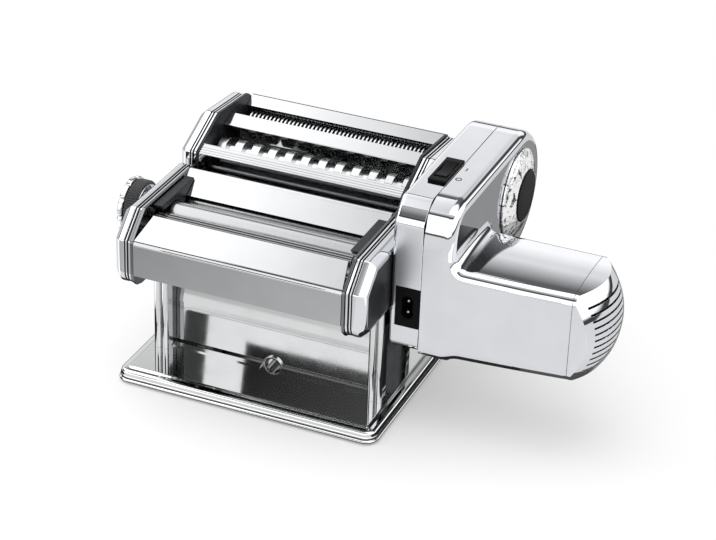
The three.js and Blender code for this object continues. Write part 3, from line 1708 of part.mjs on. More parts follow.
function motorGroup() {
  const group = new THREE.Group();
  place(group, 'motor_left_shell', leftShell(), looks.chromedPlastic());
  place(group, 'motor_body', motorBody(), looks.chromedPlastic());
  place(group, 'motor_end_cap', endCap(), looks.chromedPlastic());
  place(group, 'medallion_ring', medallionRing(), looks.chromedPlastic());
  place(group, 'medallion_badge', medallionBadge(), looks.blackPlastic());
  place(group, 'inlet_socket', inletSocket(), looks.blackPlastic());
  place(group, 'switch_bezel', switchBezel(), looks.blackPlastic());
  place(group, 'switch_rocker', rockerKey(), looks.blackPlastic());
  place(group, 'output_shaft', outputShaft(), looks.steel());
  place(group, 'second_wheel_cluster', secondWheelCluster(), looks.nylon());
  place(group, 'first_wheel_cluster', firstWheelCluster(), looks.nylon());
  place(group, 'motor_armature', motorArmature(), looks.copper());
  place(group, 'motor_stator', motorStator(), looks.steel());
  return group;
}

const pastaMaker = new THREE.Group();
pastaMaker.add(frameGroup(), headMechanism(), cutterGroup(), motorGroup());

export default pastaMaker;
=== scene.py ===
"""Looks of a motor-driven pasta maker: polished stand, smooth rollers, cutters and a plated motor unit."""
import logging
import math
from dataclasses import dataclass, field
from enum import Enum
from typing import Any, Callable, ClassVar, Sequence

import bmesh
import bpy
import numpy as np
from mathutils import Matrix, Vector
from mathutils.geometry import delaunay_2d_cdt


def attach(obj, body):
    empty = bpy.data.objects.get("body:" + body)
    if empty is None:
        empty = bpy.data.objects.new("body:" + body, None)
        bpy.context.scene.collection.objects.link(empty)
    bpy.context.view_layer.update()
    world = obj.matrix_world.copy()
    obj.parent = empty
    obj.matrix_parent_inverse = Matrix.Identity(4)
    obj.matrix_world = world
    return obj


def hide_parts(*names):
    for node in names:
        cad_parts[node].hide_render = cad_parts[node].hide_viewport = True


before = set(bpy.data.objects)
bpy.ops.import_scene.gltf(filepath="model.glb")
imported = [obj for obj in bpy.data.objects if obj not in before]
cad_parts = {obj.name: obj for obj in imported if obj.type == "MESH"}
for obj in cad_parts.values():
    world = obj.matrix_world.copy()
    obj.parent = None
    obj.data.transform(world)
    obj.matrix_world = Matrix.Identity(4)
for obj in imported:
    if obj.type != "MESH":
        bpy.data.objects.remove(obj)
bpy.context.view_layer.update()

MM = 0.001
MERGE = 2e-6
TURN = 2 * math.pi
WHITE = (1.0, 1.0, 1.0, 1.0)
Pair = tuple[float, float]
Triple = tuple[float, float, float]
Line = tuple[Pair, ...]
Outline = tuple[Triple, ...]
Tone = Triple
Ends = tuple[bool, bool]
DRIVE_AXIS = (-17.3131, 108.0015)
MOTOR_PINS = {"front": (-28, 127), "rear": (2, 97)}
log = logging.getLogger("pasta_maker")


class Axis(Enum):
    """Direction that a turned or drawn piece runs along."""

    X = (1, 2, 0)
    Z = (0, 1, 2)

    def lay(self, flat: np.ndarray, along: np.ndarray) -> np.ndarray:
        """Puts section coordinates and the length along the axis into X, Y, Z order.

        Args:
            flat: Points of the section, two coordinates each.
            along: Place of each point along the axis.

        Returns:
            The points, three coordinates each.
        """
        first, second, main = self.value
        points = np.empty(np.broadcast_shapes(flat.shape[:-1], along.shape) + (3,))
        points[..., first] = flat[..., 0]
        points[..., second] = flat[..., 1]
        points[..., main] = along
        return points


# ---- outlines


def unit(vectors: np.ndarray) -> np.ndarray:
    """Vectors of length one, with zero vectors left as they are."""
    length = np.linalg.norm(vectors, axis=-1, keepdims=True)
    return vectors / np.where(length == 0, 1, length)


def rounded(corners: Sequence[Sequence[float]], steps: int = 8) -> np.ndarray:
    """Closed outline in which each corner is an arc of its own radius.

    The arc touches both sides at radius / tan(half the corner's angle) from the corner, and its
    centre lies on the bisector at radius / sin(half the angle).

    Args:
        corners: Rows of first coordinate, second coordinate and radius, in order round the outline.
        steps: Pieces of each arc.

    Returns:
        Array of (corners * (steps + 1), 2) points.
    """
    table = np.asarray(corners, float)
    place, radius = table[:, :2], table[:, 2:3]
    back = unit(np.roll(place, 1, 0) - place)
    ahead = unit(np.roll(place, -1, 0) - place)
    half = np.arccos(np.clip((back * ahead).sum(1, keepdims=True), -1, 1)) / 2
    bisector = unit(back + ahead + 1e-12)
    centre = place + bisector * radius / np.sin(half)
    start = place + back * radius / np.tan(half) - centre
    end = place + ahead * radius / np.tan(half) - centre
    turn = np.arctan2(
        start[:, 0] * end[:, 1] - start[:, 1] * end[:, 0], (start * end).sum(1)
    )
    angle = turn[:, None] * np.linspace(0, 1, steps + 1)
    cosine, sine = np.cos(angle)[..., None], np.sin(angle)[..., None]
    across = np.stack([-start[:, 1], start[:, 0]], -1)
    arcs = centre[:, None] + start[:, None] * cosine + across[:, None] * sine
    return arcs.reshape(-1, 2)


def inset(corners: Sequence[Sequence[float]], distance: float) -> np.ndarray:
    """Moves the sides of a counter-clockwise outline inwards, and shrinks its corner radii with it.

    A corner moves along the mitre of its two sides by distance / cos(half the turn).

    Args:
        corners: Rows of first coordinate, second coordinate and radius.
        distance: Way inwards.

    Returns:
        The moved rows.
    """
    table = np.asarray(corners, float)
    place = table[:, :2]
    into = unit(place - np.roll(place, 1, 0))
    out = unit(np.roll(place, -1, 0) - place)
    first = np.stack([-into[:, 1], into[:, 0]], -1)
    second = np.stack([-out[:, 1], out[:, 0]], -1)
    mitre = unit(first + second)
    reach = distance / (mitre * first).sum(1, keepdims=True)
    bend = np.sign(into[:, 0] * out[:, 1] - into[:, 1] * out[:, 0])
    radius = np.where(
        table[:, 2] > 0, np.maximum(table[:, 2] - bend * distance, 0.25 * table[:, 2]), 0
    )
    return np.column_stack([place + mitre * reach, radius])


def softened(line: Sequence[Sequence[float]], radius: float, steps: int = 4) -> np.ndarray:
    """Open line whose inner corners are arcs, no wider than 0.45 of the shorter side beside them.

    Args:
        line: Points of the line.
        radius: Radius of the arcs.
        steps: Pieces of each arc.

    Returns:
        The points of the softened line.
    """
    points = np.asarray(line, float)
    sides = np.linalg.norm(np.diff(points, axis=0), axis=1)
    back, ahead = unit(points[:-2] - points[1:-1]), unit(points[2:] - points[1:-1])
    half = np.arccos(np.clip((back * ahead).sum(1), -1, 1)) / 2
    room = 0.45 * np.minimum(sides[:-1], sides[1:])
    reach = np.minimum(radius / np.tan(np.maximum(half, 1e-3)), room)
    table = np.zeros((len(points), 3))
    table[:, :2] = points
    table[1:-1, 2] = np.where(half > TURN / 4 - 1e-3, 0, reach * np.tan(half))
    arcs = rounded(table, steps).reshape(len(points), steps + 1, 2)
    return np.concatenate([points[:1], arcs[1:-1].reshape(-1, 2), points[-1:]])


def sheet_section(line: np.ndarray, thickness: float) -> np.ndarray:
    """Outline of a bent sheet: the line, then the same line moved square to itself by the thickness.

    Args:
        line: Points of the line.
        thickness: Way to the left of the line, or to its right if negative.

    Returns:
        The closed outline.
    """
    into = unit(np.diff(line, axis=0))
    first = np.concatenate([into[:1], into])
    second = np.concatenate([into, into[-1:]])
    normal = unit(np.stack([-(first + second)[:, 1], (first + second)[:, 0]], -1))
    square = np.stack([-first[:, 1], first[:, 0]], -1)
    reach = thickness / np.maximum((normal * square).sum(1, keepdims=True), 0.3)
    return np.concatenate([line, (line + normal * reach)[::-1]])


def spokes(count: int) -> np.ndarray:
    """Unit vectors evenly round the circle: cosine and sine of each angle."""
    angle = np.arange(count) * TURN / count
    return np.stack([np.cos(angle), np.sin(angle)], -1)


def circle(centre: Sequence[float], radius: float, count: int = 48) -> np.ndarray:
    """Points evenly round a circle: centre plus radius times the spokes."""
    return np.asarray(centre) + radius * spokes(count)


# ---- mesh pieces


@dataclass
class Patchwork:
    """Points, in millimetres, and faces of one piece while it is put together."""

    points: list[np.ndarray] = field(default_factory=list)
    faces: list[list[int]] = field(default_factory=list)
    count: int = 0

    def add(self, points: np.ndarray) -> np.ndarray:
        """Adds points and returns their numbers in the same layout.

        Args:
            points: Array whose last side holds X, Y and Z.

        Returns:
            The points' numbers.
        """
        numbers = np.arange(self.count, self.count + points[..., 0].size)
        self.points.append(points.reshape(-1, 3))
        self.count += len(numbers)
        return numbers.reshape(points.shape[:-1])

    def quads(self, numbers: np.ndarray, wrap: bool = True, keep: np.ndarray | None = None) -> None:
        """Joins neighbours of a grid of point numbers by four-sided faces.

        Args:
            numbers: Grid of point numbers, rows first.
            wrap: Whether the last column joins the first.
            keep: Which faces are made, or None for all.
        """
        if wrap:
            numbers = np.concatenate([numbers, numbers[:, :1]], 1)
        quads = np.stack(
            [numbers[:-1, :-1], numbers[1:, :-1], numbers[1:, 1:], numbers[:-1, 1:]], -1
        )
        self.faces.extend((quads[keep] if keep is not None else quads.reshape(-1, 4)).tolist())

    def loft(self, rings: np.ndarray, ends: Ends = (True, True)) -> None:
        """Joins a row of closed rings and closes the wanted ends with one face each.

        Args:
            rings: Rings of points, one for each row.
            ends: Whether the first and the last ring are closed.
        """
        numbers = self.add(rings)
        self.quads(numbers)
        self.faces.extend(numbers[row].tolist() for wanted, row in zip(ends, (0, -1)) if wanted)

    def plate(self, front: np.ndarray, back: np.ndarray, polygons: Sequence[list[int]]) -> None:
        """Sheet between two layers of the same points, with a rim along the edges that only one face has.

        Args:
            front: Points of the front layer.
            back: The same points moved back by the sheet's thickness.
            polygons: Faces of the front layer.
        """
        first, second = self.add(front).tolist(), self.add(back).tolist()
        rims: dict[frozenset[int], list[tuple[int, int]]] = {}
        for polygon in polygons:
            self.faces.append([first[i] for i in polygon])
            self.faces.append([second[i] for i in reversed(polygon)])
            for start, end in zip(polygon, polygon[1:] + polygon[:1]):
                rims.setdefault(frozenset((start, end)), []).append((start, end))
        for sides in rims.values():
            if len(sides) == 1:
                start, end = sides[0]
                self.faces.append([first[end], first[start], second[start], second[end]])

    def holed(self, axis: Axis, outline: np.ndarray, at: float, holes: Sequence[np.ndarray]) -> None:
        """Flat face with holes, square to the axis, worked out as a constrained triangulation.

        A triangle lies in a round hole where its middle is nearer to the hole's centre than 0.97 of
        the hole's radius.

        Args:
            axis: Direction that the face is square to.
            outline: Outer loop of points.
            at: Place of the face along the axis.
            holes: Loop of points of each hole, which starts at the hole's radius.
        """
        loops = [outline, *holes]
        flat = np.concatenate(loops)
        edges, start = [], 0
        for loop in loops:
            numbers = np.arange(start, start + len(loop))
            edges.append(np.stack([numbers, np.roll(numbers, -1)], -1))
            start += len(loop)
        corners, _, faces, *_ = delaunay_2d_cdt(
            [Vector(p) for p in flat], np.concatenate(edges).tolist(), [], 2, 1e-5
        )
        spots = np.array([tuple(corner) for corner in corners])
        middles = np.array([spots[list(face)].mean(0) for face in faces])
        inside = np.ones(len(faces), bool)
        for hole in holes:
            centre = hole.mean(0)
            reach = np.linalg.norm(hole[0] - centre)
            inside &= np.linalg.norm(middles - centre, axis=1) > reach * 0.97
        numbers = self.add(axis.lay(spots, np.full(len(spots), at)))
        self.faces.extend(
            [int(numbers[i]) for i in face] for face, good in zip(faces, inside) if good
        )

    def mesh(self, name: str, merge: float = MERGE) -> bpy.types.Mesh:
        """Mesh in metres with joined doubles and outward faces.

        Args:
            name: Its name.
            merge: Distance, in metres, under which points are joined.

        Returns:
            The mesh.
        """
        mesh = bpy.data.meshes.new(name)
        mesh.from_pydata((np.concatenate(self.points) * MM).tolist(), [], self.faces)
        work = bmesh.new()
        work.from_mesh(mesh)
        bmesh.ops.remove_doubles(work, verts=work.verts, dist=merge)
        bmesh.ops.dissolve_degenerate(work, edges=work.edges, dist=merge)
        bmesh.ops.recalc_face_normals(work, faces=work.faces)
        work.to_mesh(mesh)
        work.free()
        return mesh


@dataclass(frozen=True)
class Edges:
    """How a piece's edges and walls are finished by modifiers.

    Bevel and wall are in millimetres. Edges with a turn of more than sharp degrees are rounded, or
    stay sharp where there is no bevel. Flat keeps the shading of large faces flat.
    """

    bevel: float = 0.0
    segments: int = 2
    wall: float = 0.0
    sharp: float = 32.0
    flat: bool = True
    flat_weight: ClassVar[int] = 90

    def apply(self, piece: bpy.types.Object) -> None:
        """Adds the wall and the edge rounding, shades the piece smooth and keeps large flats flat.

        Args:
            piece: Object to finish.
        """
        if self.wall:
            wall = piece.modifiers.new("Wall", "SOLIDIFY")
            wall.thickness = self.wall * MM
            wall.offset = -1
            wall.use_even_offset = True
        if self.bevel:
            edge = piece.modifiers.new("Edge", "BEVEL")
            edge.width = self.bevel * MM
            edge.segments = self.segments
            edge.limit_method = "ANGLE"
            edge.angle_limit = math.radians(self.sharp)
            edge.harden_normals = True
            edge.use_clamp_overlap = True
        piece.data.shade_smooth()
        if not self.bevel:
            piece.data.set_sharp_from_angle(angle=math.radians(self.sharp))
        if self.wall:
            self.sharpen_rims(piece.data)
        if self.flat:
            weigh = piece.modifiers.new("FlatFaces", "WEIGHTED_NORMAL")
            weigh.keep_sharp = True
            weigh.weight = self.flat_weight

    @staticmethod
    def sharpen_rims(mesh: bpy.types.Mesh) -> None:
        """Marks the open edges sharp, so that a wall's rim does not bend the shading of its faces.

        Args:
            mesh: Mesh before its wall is added.
        """
        used = np.empty(len(mesh.loops), np.int32)
        mesh.loops.foreach_get("edge_index", used)
        sharp = np.empty(len(mesh.edges), bool)
        mesh.edges.foreach_get("use_edge_sharp", sharp)
        sharp |= np.bincount(used, minlength=len(mesh.edges)) == 1
        mesh.edges.foreach_set("use_edge_sharp", sharp)


@dataclass(frozen=True)
class Part:
    """Where a piece belongs: its body, its finish and the solids it stands for. Its slot is not used."""

    body: str
    slot: str
    finish: "Finish"
    stands_for: tuple[str, ...] = ()

    def place(
        self, name: str, shape: Patchwork | bpy.types.Mesh, edges: Edges = Edges(),
    ) -> bpy.types.Object:
        """Makes the object, dresses it, finishes its edges and lets it ride on its body.

        Args:
            name: Piece name.
            shape: Its patchwork or its finished mesh.
            edges: Edge finish.

        Returns:
            The finished object.
        """
        mesh = shape.mesh(name) if isinstance(shape, Patchwork) else shape
        piece = bpy.data.objects.new(name, mesh)
        bpy.context.scene.collection.objects.link(piece)
        mesh.materials.clear()
        mesh.materials.append(self.finish.material())
        edges.apply(piece)
        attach(piece, self.body)
        if self.stands_for:
            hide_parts(*self.stands_for)
        log.info("%s: %d faces on %s", name, len(mesh.polygons), self.body)
        return piece


def merged_copy(node: str, flat: float = 0.6) -> bpy.types.Mesh:
    """Copy of a solid's mesh with joined doubles and with its flat faces in one piece each.

    Args:
        node: Name of the solid.
        flat: Turn, in degrees, under which faces count as one flat face.

    Returns:
        The copy.
    """
    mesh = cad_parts[node].data.copy()
    work = bmesh.new()
    work.from_mesh(mesh)
    bmesh.ops.remove_doubles(work, verts=work.verts, dist=MERGE)
    bmesh.ops.dissolve_limit(
        work, angle_limit=math.radians(flat), verts=work.verts, edges=work.edges
    )
    work.to_mesh(mesh)
    work.free()
    mesh.name = node
    return mesh


def softened_copy(node: str, part: Part, bevel: float = 0.35) -> bpy.types.Object:
    """The solid itself with rounded edges, for pieces whose shape is right."""
    whole = Part(part.body, part.slot, part.finish, (node,))
    return whole.place(f"{node}_soft", merged_copy(node), Edges(bevel, 3, sharp=30))


def lofted(
    name: str, part: Part, rings: np.ndarray, edges: Edges = Edges(), ends: Ends = (True, True),
) -> bpy.types.Object:
    """A row of closed rings, each joined to the next, as one piece.

    Args:
        name: Piece name.
        part: Where the piece belongs.
        rings: Rings of points, one for each row.
        edges: Edge finish.
        ends: Whether the first and the last ring are closed.

    Returns:
        The finished object.
    """
    patch = Patchwork()
    patch.loft(rings, ends)
    return part.place(name, patch, edges)


def turned(
    name: str, part: Part, axis: Axis, centre: Pair, profile: np.ndarray, count: int = 96,
    edges: Edges = Edges(), swell: Callable[[np.ndarray, np.ndarray], np.ndarray] | None = None,
) -> bpy.types.Object:
    """Body of revolution: each profile point (along, radius) makes a ring round the axis.

    Args:
        name: Piece name.
        part: Where the piece belongs.
        axis: Direction of the axis.
        centre: Place of the axis in the section plane.
        profile: Rows of length along the axis and radius, from one end on the axis to the other.
        count: Points of each ring.
        edges: Edge finish.
        swell: Change of radius as a function of angle and row, or None for a round body.

    Returns:
        The finished object.
    """
    rows = np.asarray(profile, float)
    angle = np.arange(count) * TURN / count
    radius = rows[:, 1:2] + (swell(angle[None, :], np.arange(len(rows))[:, None]) if swell else 0)
    rings = radius[..., None] * spokes(count) + np.asarray(centre)
    ends = (rows[0, 1] > 1e-6, rows[-1, 1] > 1e-6)
    return lofted(name, part, axis.lay(rings, rows[:, :1]), edges, ends)


def drawn(
    name: str, part: Part, section: np.ndarray, low: float, high: float, edges: Edges = Edges(),
    axis: Axis = Axis.X,
) -> bpy.types.Object:
    """A section drawn along the axis from low to high, closed by one face at each end.

    Args:
        name: Piece name.
        part: Where the piece belongs.
        section: Closed outline.
        low: Place of the first end.
        high: Place of the second end.
        edges: Edge finish.
        axis: Direction that the section is drawn along.

    Returns:
        The finished object.
    """
    return lofted(name, part, axis.lay(section[None], np.array([[low], [high]], float)), edges)


def rod_line(half: float, radius: float) -> np.ndarray:
    """Rows of length and radius of a plain rod."""
    return np.array([(-half, 0), (-half, radius), (half, radius), (half, 0)], float)


# ---- finishes


def operator(kind: str, swapped: bool = False) -> Callable[["Wire", Any], "Wire"]:
    """Makes the method of one operator, which adds a Math node.

    Args:
        kind: The Math node's operation.
        swapped: Whether the other value comes first.

    Returns:
        The method.
    """

    def method(self: "Wire", other: Any) -> "Wire":
        """Result of the Math node."""
        first, second = (other, self) if swapped else (self, other)
        return self.paint.node("ShaderNodeMath", {"operation": kind}, {0: first, 1: second})

    return method


@dataclass
class Wire:
    """A shader socket written in Python arithmetic: each operator adds its Math node."""

    paint: "Paint"
    socket: bpy.types.NodeSocket

    __add__ = operator("ADD")
    __radd__ = operator("ADD", True)
    __sub__ = operator("SUBTRACT")
    __rsub__ = operator("SUBTRACT", True)
    __mul__ = operator("MULTIPLY")
    __rmul__ = operator("MULTIPLY", True)
    larger = operator("MAXIMUM")


class Paint:
    """Builds the node tree of one material or world."""

    def __init__(self, owner: bpy.types.Material | bpy.types.World) -> None:
        """Empties the owner's tree.

        Args:
            owner: Material or world that is painted.
        """
        owner.use_nodes = True
        self.tree = owner.node_tree
        self.tree.nodes.clear()

    def node(
        self, kind: str, settings: dict[str, Any] | None = None,
        inputs: dict[str | int, Any] | None = None, output: str | int = 0,
    ) -> Wire:
        """Adds a node, sets its settings, then its sockets.

        Args:
            kind: Node type.
            settings: Attributes of the node.
            inputs: Socket name or number to a value or a Wire.
            output: Name or number of the wanted output.

        Returns:
            The wanted output.
        """
        node = self.tree.nodes.new(kind)
        for key, value in (settings or {}).items():
            setattr(node, key, value)
        for key, value in (inputs or {}).items():
            if isinstance(value, Wire):
                self.tree.links.new(value.socket, node.inputs[key])
            else:
                node.inputs[key].default_value = value
        return Wire(self, node.outputs[output])

    def place(self, stretch: Sequence[float] = (1, 1, 1)) -> Wire:
        """Object coordinates in metres, stretched."""
        where = self.node("ShaderNodeTexCoord", output="Object")
        return self.node("ShaderNodeMapping", {}, {"Vector": where, "Scale": tuple(stretch)})

    def noise(self, scale: float, detail: float = 2, stretch: Sequence[float] = (1, 1, 1)) -> Wire:
        """Cloudy noise between 0 and 1.

        Args:
            scale: Cells in a metre.
            detail: Finer layers.
            stretch: Factor for each coordinate.

        Returns:
            The noise.
        """
        settings = {"noise_dimensions": "3D"}
        values = {"Vector": self.place(stretch), "Scale": scale, "Detail": detail, "Roughness": 0.55}
        return self.node("ShaderNodeTexNoise", settings, values)

    def spread(self, value: Wire, low: float, high: float, start: float = 0, end: float = 1) -> Wire:
        """Maps start..end to low..high and holds it there outside."""
        values = {"Value": value, 1: start, 2: end, 3: low, 4: high}
        return self.node("ShaderNodeMapRange", {"clamp": True}, values)

    def tint(self, factor: Wire, first: Sequence[float], second: Sequence[float]) -> Wire:
        """Colour between two colours.

        Args:
            factor: Share of the second colour.
            first: First colour.
            second: Second colour.

        Returns:
            The mixed colour.
        """
        settings = {"data_type": "RGBA"}
        values = {0: factor, 6: (*first, 1), 7: (*second, 1)}
        return self.node("ShaderNodeMix", settings, values, 2)

    def bump(self, height: Wire, distance: float) -> Wire:
        """Normal that follows a height, with the height's full step in metres."""
        return self.node("ShaderNodeBump", {}, {"Height": height, "Distance": distance})

    def part_of(self, vector: Wire, part: str) -> Wire:
        """X, Y or Z of a vector."""
        return self.node("ShaderNodeSeparateXYZ", {}, {"Vector": vector}, part)

    def ray(self, kind: str) -> Wire:
        """1 for rays of one kind, else 0."""
        return self.node("ShaderNodeLightPath", output=f"Is {kind} Ray")

    def glow(self, level: Wire | float, kind: str = "Emission") -> Wire:
        """White light of a level, from a surface or from the room."""
        return self.node(f"ShaderNode{kind}", {}, {"Color": WHITE, "Strength": level})

    def surface(self, **sockets: Any) -> None:
        """Principled surface with the given sockets, linked to the output."""
        named = {
            key.replace("_", " ").title().replace("Ior", "IOR"): value for key, value in sockets.items()
        }
        self.finish(self.node("ShaderNodeBsdfPrincipled", {}, named))

    def finish(self, shader: Wire, kind: str = "Material") -> None:
        """Links a shader to the tree's output node."""
        out = self.tree.nodes.new(f"ShaderNodeOutput{kind}")
        self.tree.links.new(shader.socket, out.inputs["Surface"])


def scaled(tone: Tone, share: float) -> Tone:
    """A tone made darker or lighter, no lighter than white."""
    return tuple(min(1.0, share * channel) for channel in tone)


@dataclass(frozen=True)
class Finish:
    """A finish that keeps one material for all pieces that wear it."""

    name: str
    made: ClassVar[dict[str, bpy.types.Material]] = {}

    def material(self) -> bpy.types.Material:
        """The material, made when it is first asked for.

        Returns:
            The material, the same one each time.
        """
        if self.name not in Finish.made:
            Finish.made[self.name] = bpy.data.materials.new(self.name)
            self.paint(Paint(Finish.made[self.name]))
        return Finish.made[self.name]

    def paint(self, paint: Paint) -> None:
        """Draws the finish's nodes."""
        raise NotImplementedError


@dataclass(frozen=True)
class Polished(Finish):
    """Mirror metal: faint smudges in its gloss, a slow waviness of the sheet and fine polishing lines.

    The tone is its colour and edge its colour at a grazing view. Gloss is its roughness, to which
    smudge adds at most its own value and satin_front its own on faces that look to the front. Wave
    and line_depth are heights in metres. A scale is the number of noise cells in a metre.
    """

    tone: Tone = (0.66, 0.665, 0.675)
    gloss: float = 0.05
    smudge: float = 0.06
    wave: float = 0.00005
    wave_scale: float = 14
    lines: Tone = (1, 1, 1)
    line_depth: float = 0.0
    edge: float = 0.3
    satin_front: float = 0.0
    smudge_scale: float = 38
    fine_scale: float = 420
    smudge_span: Pair = (0.45, 0.8)
    shade_span: Pair = (0.3, 0.75)
    front_span: Pair = (-0.998, -0.985)
    shade: float = 0.94

    def paint(self, paint: Paint) -> None:
        """Roughness from smudge noise; normal from the waviness and the polishing lines.

        Args:
            paint: Tree of the material.
        """
        cloud = paint.noise(self.smudge_scale, 4)
        fine = paint.noise(self.fine_scale, 2, self.lines)
        smudges = paint.spread(cloud, 0, self.smudge, *self.smudge_span)
        rough = self.gloss + smudges + fine * (self.smudge / 4)
        if self.satin_front:
            forward = paint.part_of(paint.node("ShaderNodeTexCoord", output="Normal"), "Y")
            rough = rough + paint.spread(forward, self.satin_front, 0, *self.front_span)
        height = paint.noise(self.wave_scale, 1) * self.wave + fine * self.line_depth
        share = paint.spread(cloud, 0, 1, *self.shade_span)
        paint.surface(
            base_color=paint.tint(share, self.tone, scaled(self.tone, self.shade)),
            metallic=1.0,
            roughness=rough,
            specular_tint=(self.edge, self.edge, self.edge, 1),
            normal=paint.bump(height, 1.0),
        )


@dataclass(frozen=True)
class Ground(Finish):
    """Turned or ground steel: fine rings round the axis, seen as streaks across the length."""

    tone: Tone = (0.6, 0.605, 0.61)
    gloss: float = 0.16
    ring_depth: float = 0.000012
    ring_scale: float = 60
    squeeze: Triple = (40, 1, 1)
    cloud_scale: float = 30
    shade: float = 0.86

    def paint(self, paint: Paint) -> None:
        """Noise squeezed along X gives the rings in gloss and height.

        Args:
            paint: Tree of the material.
        """
        rings = paint.noise(self.ring_scale, 3, self.squeeze)
        cloud = paint.noise(self.cloud_scale, 3)
        paint.surface(
            base_color=paint.tint(rings, scaled(self.tone, self.shade), self.tone),
            metallic=1.0,
            roughness=self.gloss + rings * 0.08 + cloud * 0.05,
            normal=paint.bump(rings, self.ring_depth),
        )


@dataclass(frozen=True)
class Moulded(Finish):
    """Moulded plastic or rubber with an eroded grain, slightly lighter on the tops of the grain."""

    tone: Tone = (0.03, 0.031, 0.034)
    rough: float = 0.45
    grain: float = 1400
    grain_depth: float = 0.00006
    speck: float = 1.5
    shine: float = 0.5
    cloud_scale: float = 45
    cloud_rough: float = 0.16
    speck_span: Pair = (0.35, 0.7)

    def paint(self, paint: Paint) -> None:
        """Grain noise lightens the colour and gives height; slow noise varies the gloss.

        Args:
            paint: Tree of the material.
        """
        grain = paint.noise(self.grain, 3)
        cloud = paint.noise(self.cloud_scale, 3)
        specks = paint.spread(grain, 0, 1, *self.speck_span)
        paint.surface(
            base_color=paint.tint(specks, self.tone, scaled(self.tone, self.speck)),
            roughness=self.rough - self.cloud_rough / 2 + cloud * self.cloud_rough,
            specular_ior_level=self.shine,
            normal=paint.bump(grain, self.grain_depth),
        )


@dataclass(frozen=True)
class Hammered(Finish):
    """Plated surface with a hammered pattern of shallow dents and cuts."""

    tone: Tone = (0.86, 0.86, 0.87)
    cut_tone: Tone = (0.05, 0.05, 0.05)
    dent: float = 300
    depth: float = 0.00035
    cut_scale: float = 900
    cut_span: Pair = (0.9, 1.1)

    def paint(self, paint: Paint) -> None:
        """Smooth cell distance gives the dents, and fine noise the cuts between them.

        Args:
            paint: Tree of the material.
        """
        sockets = {"Vector": paint.place(), "Scale": self.dent, "Smoothness": 0.4}
        cells = paint.node("ShaderNodeTexVoronoi", {"feature": "SMOOTH_F1"}, sockets)
        cuts = paint.noise(self.cut_scale, 3)
        deep = paint.spread(cells + cuts * 0.6, 0, 1, *self.cut_span)
        paint.surface(
            base_color=paint.tint(deep, self.tone, self.cut_tone),
            metallic=1.0,
            roughness=0.12 + cuts * 0.18,
            normal=paint.bump(cells + cuts * 0.35, self.depth),
        )


@dataclass(frozen=True)
class Layered(Finish):
    """Stacked iron sheets or wound copper: bands along X that vary in colour and height."""

    tone: Tone = (0.3, 0.29, 0.28)
    shade: Tone = (0.12, 0.115, 0.11)
    bands: float = 800
    cloud_scale: float = 120
    band_depth: float = 0.0001

    def paint(self, paint: Paint) -> None:
        """A band wave along X, broken up by noise.

        Args:
            paint: Tree of the material.
        """
        sockets = {"Vector": paint.place(), "Scale": self.bands / TURN, "Distortion": 0.4, "Detail": 2.0}
        wave = paint.node("ShaderNodeTexWave", {"bands_direction": "X"}, sockets, "Fac")
        cloud = paint.noise(self.cloud_scale, 3)
        paint.surface(
            base_color=paint.tint(wave * 0.7 + cloud * 0.3, self.shade, self.tone),
            metallic=0.7,
            roughness=0.35 + cloud * 0.2,
            normal=paint.bump(wave, self.band_depth),
        )


@dataclass(frozen=True)
class Finishes:
    """The finishes of the whole machine."""

    sheet: Finish = Polished("polished_sheet", tone=(0.47, 0.475, 0.485), gloss=0.06, wave=0.00006)
    mirror: Finish = Polished("mirror_sheet", tone=(0.66, 0.665, 0.67), gloss=0.035, smudge=0.04)
    plated: Finish = Polished(
        "plated_shell", tone=(0.68, 0.69, 0.71), gloss=0.03, smudge=0.035, wave=0.00003, edge=0.5
    )
    case: Finish = Polished(
        "motor_shell", tone=(0.68, 0.69, 0.715), gloss=0.03, smudge=0.035, wave=0.00003, edge=0.8,
        satin_front=0.28,
    )
    satin: Finish = Polished(
        "satin_plate", tone=(0.2, 0.202, 0.207), gloss=0.1, smudge=0.08, lines=(1, 1, 25),
        line_depth=0.000003,
    )
    roller: Finish = Ground("roller_steel", tone=(0.38, 0.385, 0.39), gloss=0.12)
    cutter: Finish = Ground("cutter_steel", tone=(0.62, 0.625, 0.63), gloss=0.14)
    shaft: Finish = Ground("shaft_steel")
    # painted shade: near-black finish laid on the faces of the end covers' grooves, standing for the shade
    # that falls in them
    groove_shade: Finish = Moulded(
        "painted_groove_shade", tone=(0.006, 0.006, 0.006), rough=0.6, grain_depth=0.00001, shine=0.1
    )
    fence: Finish = Moulded("fence_plastic", tone=(0.01, 0.0105, 0.012), grain_depth=0.00009, shine=0.25)
    knurl: Finish = Moulded("grip_plastic", tone=(0.016, 0.016, 0.017), rough=0.4, grain_depth=0.00004)
    gloss_black: Finish = Moulded(
        "black_moulding", tone=(0.004, 0.004, 0.0045), rough=0.35, grain_depth=0.00001, shine=0.04
    )
    rubber: Finish = Moulded("foot_rubber", tone=(0.02, 0.02, 0.021), rough=0.8, grain=700)
    nylon: Finish = Moulded("white_nylon", tone=(0.66, 0.64, 0.58), rough=0.5, grain=500, speck=1.08)
    hammered: Finish = Hammered("hammered_ring")
    iron: Finish = Layered("stacked_iron")
    copper: Finish = Layered("wound_copper", (0.62, 0.28, 0.14), (0.3, 0.12, 0.06), 1500)


FINISHES = Finishes()


# ---- studio


@dataclass(frozen=True)
class Ramp:
    """A level that runs from low to high while a value runs from start to end, and holds outside."""

    low: float
    high: float
    start: float
    end: float

    def level(self, value: Wire) -> Wire:
        """The level for a value."""
        return value.paint.spread(value, self.low, self.high, self.start, self.end)


